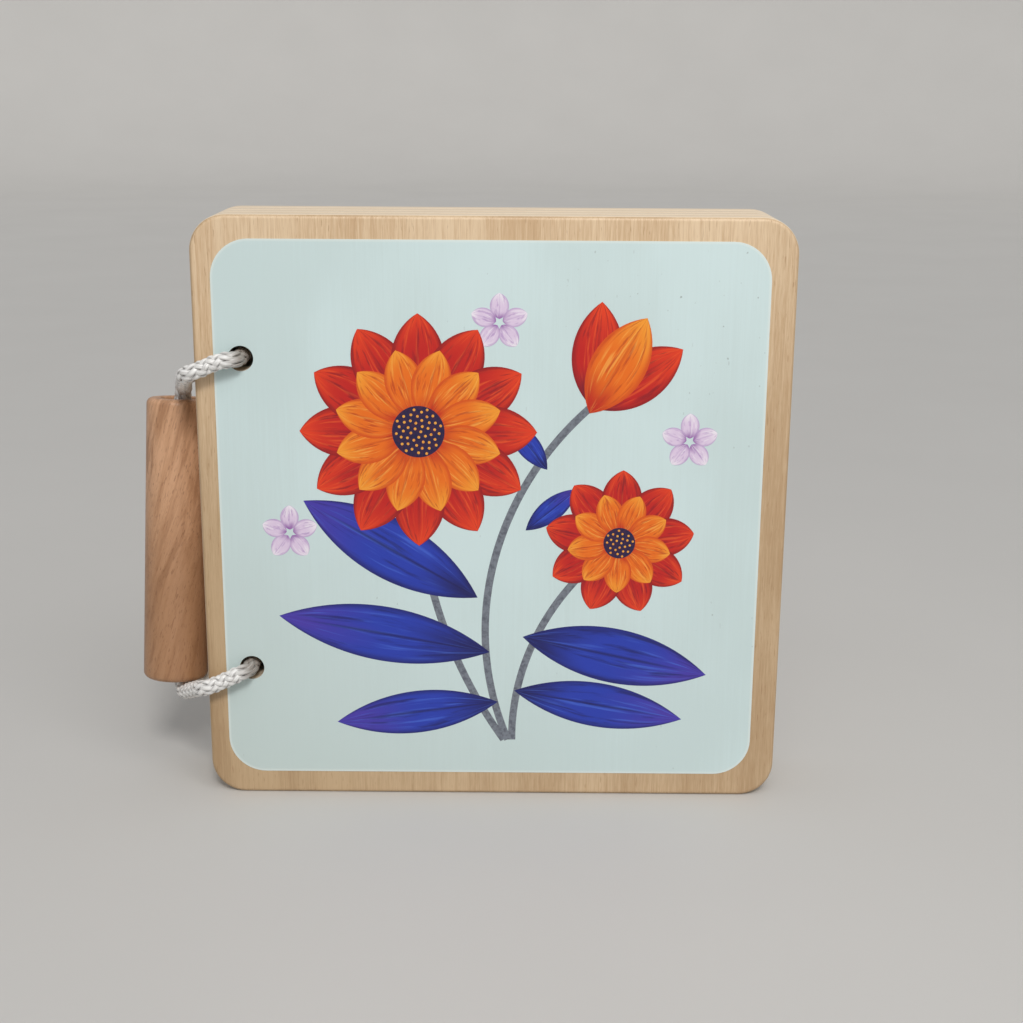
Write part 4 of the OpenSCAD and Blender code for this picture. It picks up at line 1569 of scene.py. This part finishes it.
    def build(self) -> None:
        """Makes each stretch and puts it on its body where it has one; a stretch between two bodies stays where it
        is.
        """
        braid, sleeve = self.braid_tree(), self.sleeve_tree()
        yarn, plain = BraidFinish().material(), SleeveFinish(self.turn, self.strands // 2).material()
        scale = Matrix.Scale(MM, 4)
        sleeve_r = self.sizes.cord_d / 2 - self.sleeve_inset
        for piece in self.pieces():
            line = self.line_mesh(piece)
            if piece.sleeve:
                made = sleeve.grow(piece.name, line, scale, Radius=sleeve_r, Material=plain)
            else:
                made = braid.grow(
                    piece.name, line, scale, Strands=self.strands, Strand_Width=self.strand_w,
                    Strand_Thickness=self.strand_t, Middle_Radius=self.middle_r, Weave=self.weave,
                    Core_Radius=self.core_r, Turn=self.turn, Material=yarn)
            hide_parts("binding_cord")
            if len(piece.bodies) == 1:
                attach(made, piece.bodies[0].value)
            else:
                ends = list(zip(piece.bodies, self.path.at(np.array([piece.start, piece.end]))[0]))
                # Half a turn has no side of its own, so the board nearer the front always comes first
                (first, p), (last, q) = sorted(ends, key=lambda end: -CHAIN.index(end[0]))
                tuple(p * MM)
                tuple(q * MM)
                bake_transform(made)
            LOG.info("%s on %s", piece.name, ", ".join(b.value for b in piece.bodies))
        LOG.info("cord is %.1f mm long", self.path.length)


@dataclass
class Studio:
    """Camera, lights, world and floor, in metres."""

    camera_at: Triple = (0.00505, -0.39185, 0.174)
    right: Triple = (0.99997, 0.00351, 0.00628)
    up: Triple = (-0.00698, 0.26133, 0.96522)
    forward: Triple = (-0.00175, 0.96524, -0.26135)
    lens: float = 56.45
    shift_y: float = -0.00244
    sky: float = 0.455
    sun: float = 1.3
    sun_spread: float = 13.0
    key: float = 0.39
    key_at: Triple = (0.08, -0.24, 0.36)
    key_aim: Triple = (0.0, 0.0, 0.1)
    key_size: float = 0.22
    day: Rgb = (1.0, 0.985, 0.96)
    sky_tint: Rgb = (0.97, 0.985, 1.0)
    sensor_w: float = 36.0
    sun_way: Vector = field(default_factory=lambda: Vector((0.1, -0.72, 0.69)))

    def camera(self) -> None:
        """Sets the camera at the photograph's viewpoint."""
        data = bpy.data.cameras.new("view")
        data.lens = self.lens
        data.sensor_width = self.sensor_w
        data.shift_y = self.shift_y
        data.clip_start, data.clip_end = 0.01, 50.0
        made = link("view", data)
        columns = [Vector(self.right), Vector(self.up), -Vector(self.forward)]
        turn = Matrix(columns).transposed().to_4x4()
        made.matrix_world = Matrix.Translation(self.camera_at) @ turn
        bpy.context.scene.camera = made

    @staticmethod
    def panel(name: str, at: Triple, aim: Triple, size: float, power: float, colour: Rgb) -> None:
        """Adds one square soft light.

        Args:
            name: Its name.
            at: Where it hangs.
            aim: What it points at.
            size: Its side.
            power: Its power in watts.
            colour: Its colour.
        """
        data = bpy.data.lights.new(name, "AREA")
        data.shape, data.size, data.energy, data.color = "SQUARE", size, power, colour
        made = link(name, data)
        way = Vector(aim) - Vector(at)
        made.matrix_world = Matrix.Translation(at) @ way.to_track_quat("-Z", "Y").to_matrix().to_4x4()
        made.visible_camera = False

    @staticmethod
    def backdrop(flat_r: float = 2.2, bend_r: float = 0.6, wall: float = 0.5, sides: int = 96) -> bpy.types.Mesh:
        """Round floor whose rim curves up into a low wall, so that no horizon shows.

        Args:
            flat_r: Radius of the flat floor.
            bend_r: Radius of the curve at its rim.
            wall: Height of the straight wall above the curve.
            sides: Number of sides.

        Returns:
            The mesh.
        """
        turn = np.linspace(0, math.pi / 2, 13)
        section = [(flat_r + bend_r * math.sin(a), bend_r - bend_r * math.cos(a)) for a in turn]
        section.append((flat_r + bend_r, bend_r + wall))
        points = [(0.0, 0.0, 0.0)]
        for r, z in section:
            points += [(r * math.cos(TAU * i / sides), r * math.sin(TAU * i / sides), z) for i in range(sides)]
        faces = [(0, 1 + i, 1 + (i + 1) % sides) for i in range(sides)]
        for row in range(len(section) - 1):
            low, high = 1 + row * sides, 1 + (row + 1) * sides
            faces += [(low + i, high + i, high + (i + 1) % sides, low + (i + 1) % sides) for i in range(sides)]
        mesh = bpy.data.meshes.new("floor")
        mesh.from_pydata(points, [], faces)
        mesh.shade_smooth()
        mesh.materials.append(FloorFinish().material())
        return mesh

    def build(self) -> None:
        """Sets up camera, world, lights and floor."""
        self.camera()
        scene = bpy.context.scene
        scene.view_settings.view_transform = "Standard"
        scene.view_settings.look = "None"
        world = bpy.data.worlds.new("studio")
        world.use_nodes = True
        background = world.node_tree.nodes["Background"]
        background.inputs["Color"].default_value = (*self.sky_tint, 1.0)
        background.inputs["Strength"].default_value = self.sky
        scene.world = world
        sun = bpy.data.lights.new("daylight", "SUN")
        sun.energy, sun.angle, sun.color = self.sun, math.radians(self.sun_spread), self.day
        made = link("daylight", sun)
        made.matrix_world = self.sun_way.to_track_quat("Z", "Y").to_matrix().to_4x4()
        self.panel("key", self.key_at, self.key_aim, self.key_size, self.key, self.day)
        link("floor", self.backdrop())
        LOG.info("studio is set")


def main() -> None:
    """Builds the whole scene around the CAD model."""
    logging.basicConfig(level=logging.INFO, format="%(name)s: %(message)s")
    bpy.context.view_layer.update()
    sizes = BookSizes()
    Studio().build()
    BindingCord(sizes).build()
    Boards(sizes).build()
    PrintedFields(sizes).build()
    CoverSpray(sizes).build()
    SpineDowel(sizes).build()


if __name__ == "__main__":
    main()
